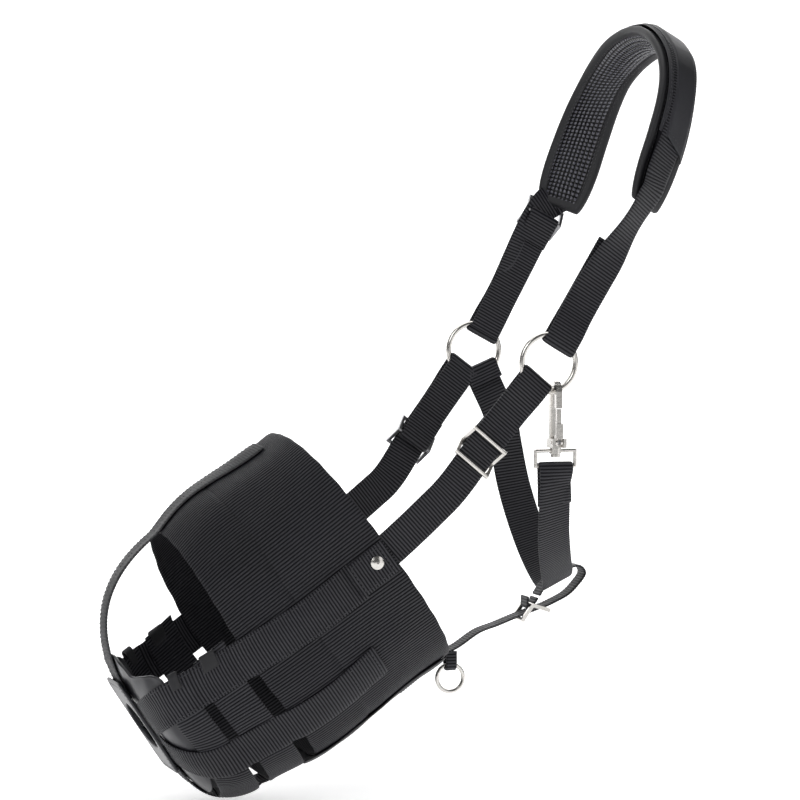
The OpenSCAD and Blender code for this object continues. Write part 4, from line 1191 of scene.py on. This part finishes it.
FINISH = {"rivet_caps": NICKEL, "rivet_washers": NICKEL, "near_cheek_slide": NICKEL,
          "far_cheek_slide": GUNMETAL, "crown_slide": GUNMETAL, "near_ring": NICKEL, "far_ring": NICKEL,
          "snap_eye": NICKEL, "snap_hook": NICKEL, "snap_gate": NICKEL, "gate_pin": NICKEL,
          "gate_spring": SPRING, "chin_slide": NICKEL, "chin_ring": NICKEL}
SOFT_EDGE = {"near_cheek_slide": 0.5, "far_cheek_slide": 0.5, "crown_slide": 0.5, "chin_slide": 0.4,
             "snap_hook": 0.8, "snap_gate": 0.4, "snap_eye": 0.3, "rivet_washers": 0.2}


def finish_metal(name, material):
    """A CAD node's own mesh, with its plating and rounded corners."""
    obj = bpy.data.objects[name]
    obj.data.materials.clear()
    obj.data.materials.append(material)
    if name in SOFT_EDGE:
        bevel = obj.modifiers.new("soft edges", "BEVEL")
        bevel.width = SOFT_EDGE[name] * MM
        bevel.segments = 3
        bevel.limit_method = "ANGLE"
        bevel.angle_limit = math.radians(35)
        bevel.harden_normals = False
        normals = obj.modifiers.new("even shading", "WEIGHTED_NORMAL")
        normals.keep_sharp = False


for node_name, plating in FINISH.items():
    finish_metal(node_name, plating)

# ---- floor, light and camera

LOW_Z = cad_box[0][2]


def backdrop():
    """Pale sweep: a floor that curves up into a wall behind the object."""
    profile = [(-6.0, 0.0)]
    profile += [(3.0 + 2.0 * math.sin(b), 2.0 - 2.0 * math.cos(b)) for b in np.linspace(0, math.pi / 2, 24)]
    profile += [(5.0, 8.0)]
    verts = [(x, y, LOW_Z - 0.004 + z) for x in (-8.0, 8.0) for y, z in profile]
    n = len(profile)
    faces = [(i, i + 1, n + i + 1, n + i) for i in range(n - 1)]
    mesh = bpy.data.meshes.new("backdrop")
    mesh.from_pydata(verts, [], faces)
    mesh.polygons.foreach_set("use_smooth", [True] * len(faces))
    g = Graph("pale_paper")
    g.link(g.ramp(g.noise(g.place(), 2.0), 0.3, 0.7, (0.86, 0.86, 0.87), (0.9, 0.9, 0.9)),
           g.shader.inputs["Base Color"])
    g.set(g.shader, Roughness=0.85, Emission_Color=(1, 1, 1, 1), Emission_Strength=0.55)
    mesh.materials.append(g.material)
    obj = bpy.data.objects.new("backdrop", mesh)
    bpy.context.scene.collection.objects.link(obj)


def aim(obj, target):
    obj.rotation_euler = (Vector(target) - obj.location).to_track_quat("-Z", "Y").to_euler()


def softbox(name, place, target, size, watts):
    light = bpy.data.lights.new(name, "AREA")
    light.shape = "RECTANGLE"
    light.size, light.size_y = size
    light.energy = watts
    obj = bpy.data.objects.new(name, light)
    obj.location = place
    aim(obj, target)
    bpy.context.scene.collection.objects.link(obj)


backdrop()
CENTRE = (-0.19, 0.0, -0.26)
softbox("key", (-1.6, -1.7, 1.2), CENTRE, (1.4, 1.4), 20)
softbox("fill", (1.5, -1.6, 0.4), CENTRE, (1.2, 1.8), 7)
softbox("top", (-0.2, 0.2, 1.6), CENTRE, (1.8, 1.2), 14)
softbox("rim", (0.9, 1.4, 0.6), CENTRE, (1.0, 1.4), 9)
softbox("wall", (0.0, 2.2, 2.6), (0.0, 5.0, 0.6), (4.0, 1.5), 120)

world = bpy.data.worlds.new("studio")
world.use_nodes = True
world.node_tree.nodes["Background"].inputs["Color"].default_value = (1, 1, 1, 1)
world.node_tree.nodes["Background"].inputs["Strength"].default_value = 0.1
bpy.context.scene.world = world
bpy.context.scene.view_settings.view_transform = "Standard"

camera = bpy.data.cameras.new("camera")
camera.lens, camera.sensor_width = 143.75, 36
camera_obj = bpy.data.objects.new("camera", camera)
camera_obj.location = (-0.8993, -2.1844, -0.1356)
aim(camera_obj, (-0.1895, 0, -0.256))
bpy.context.scene.collection.objects.link(camera_obj)
bpy.context.scene.camera = camera_obj
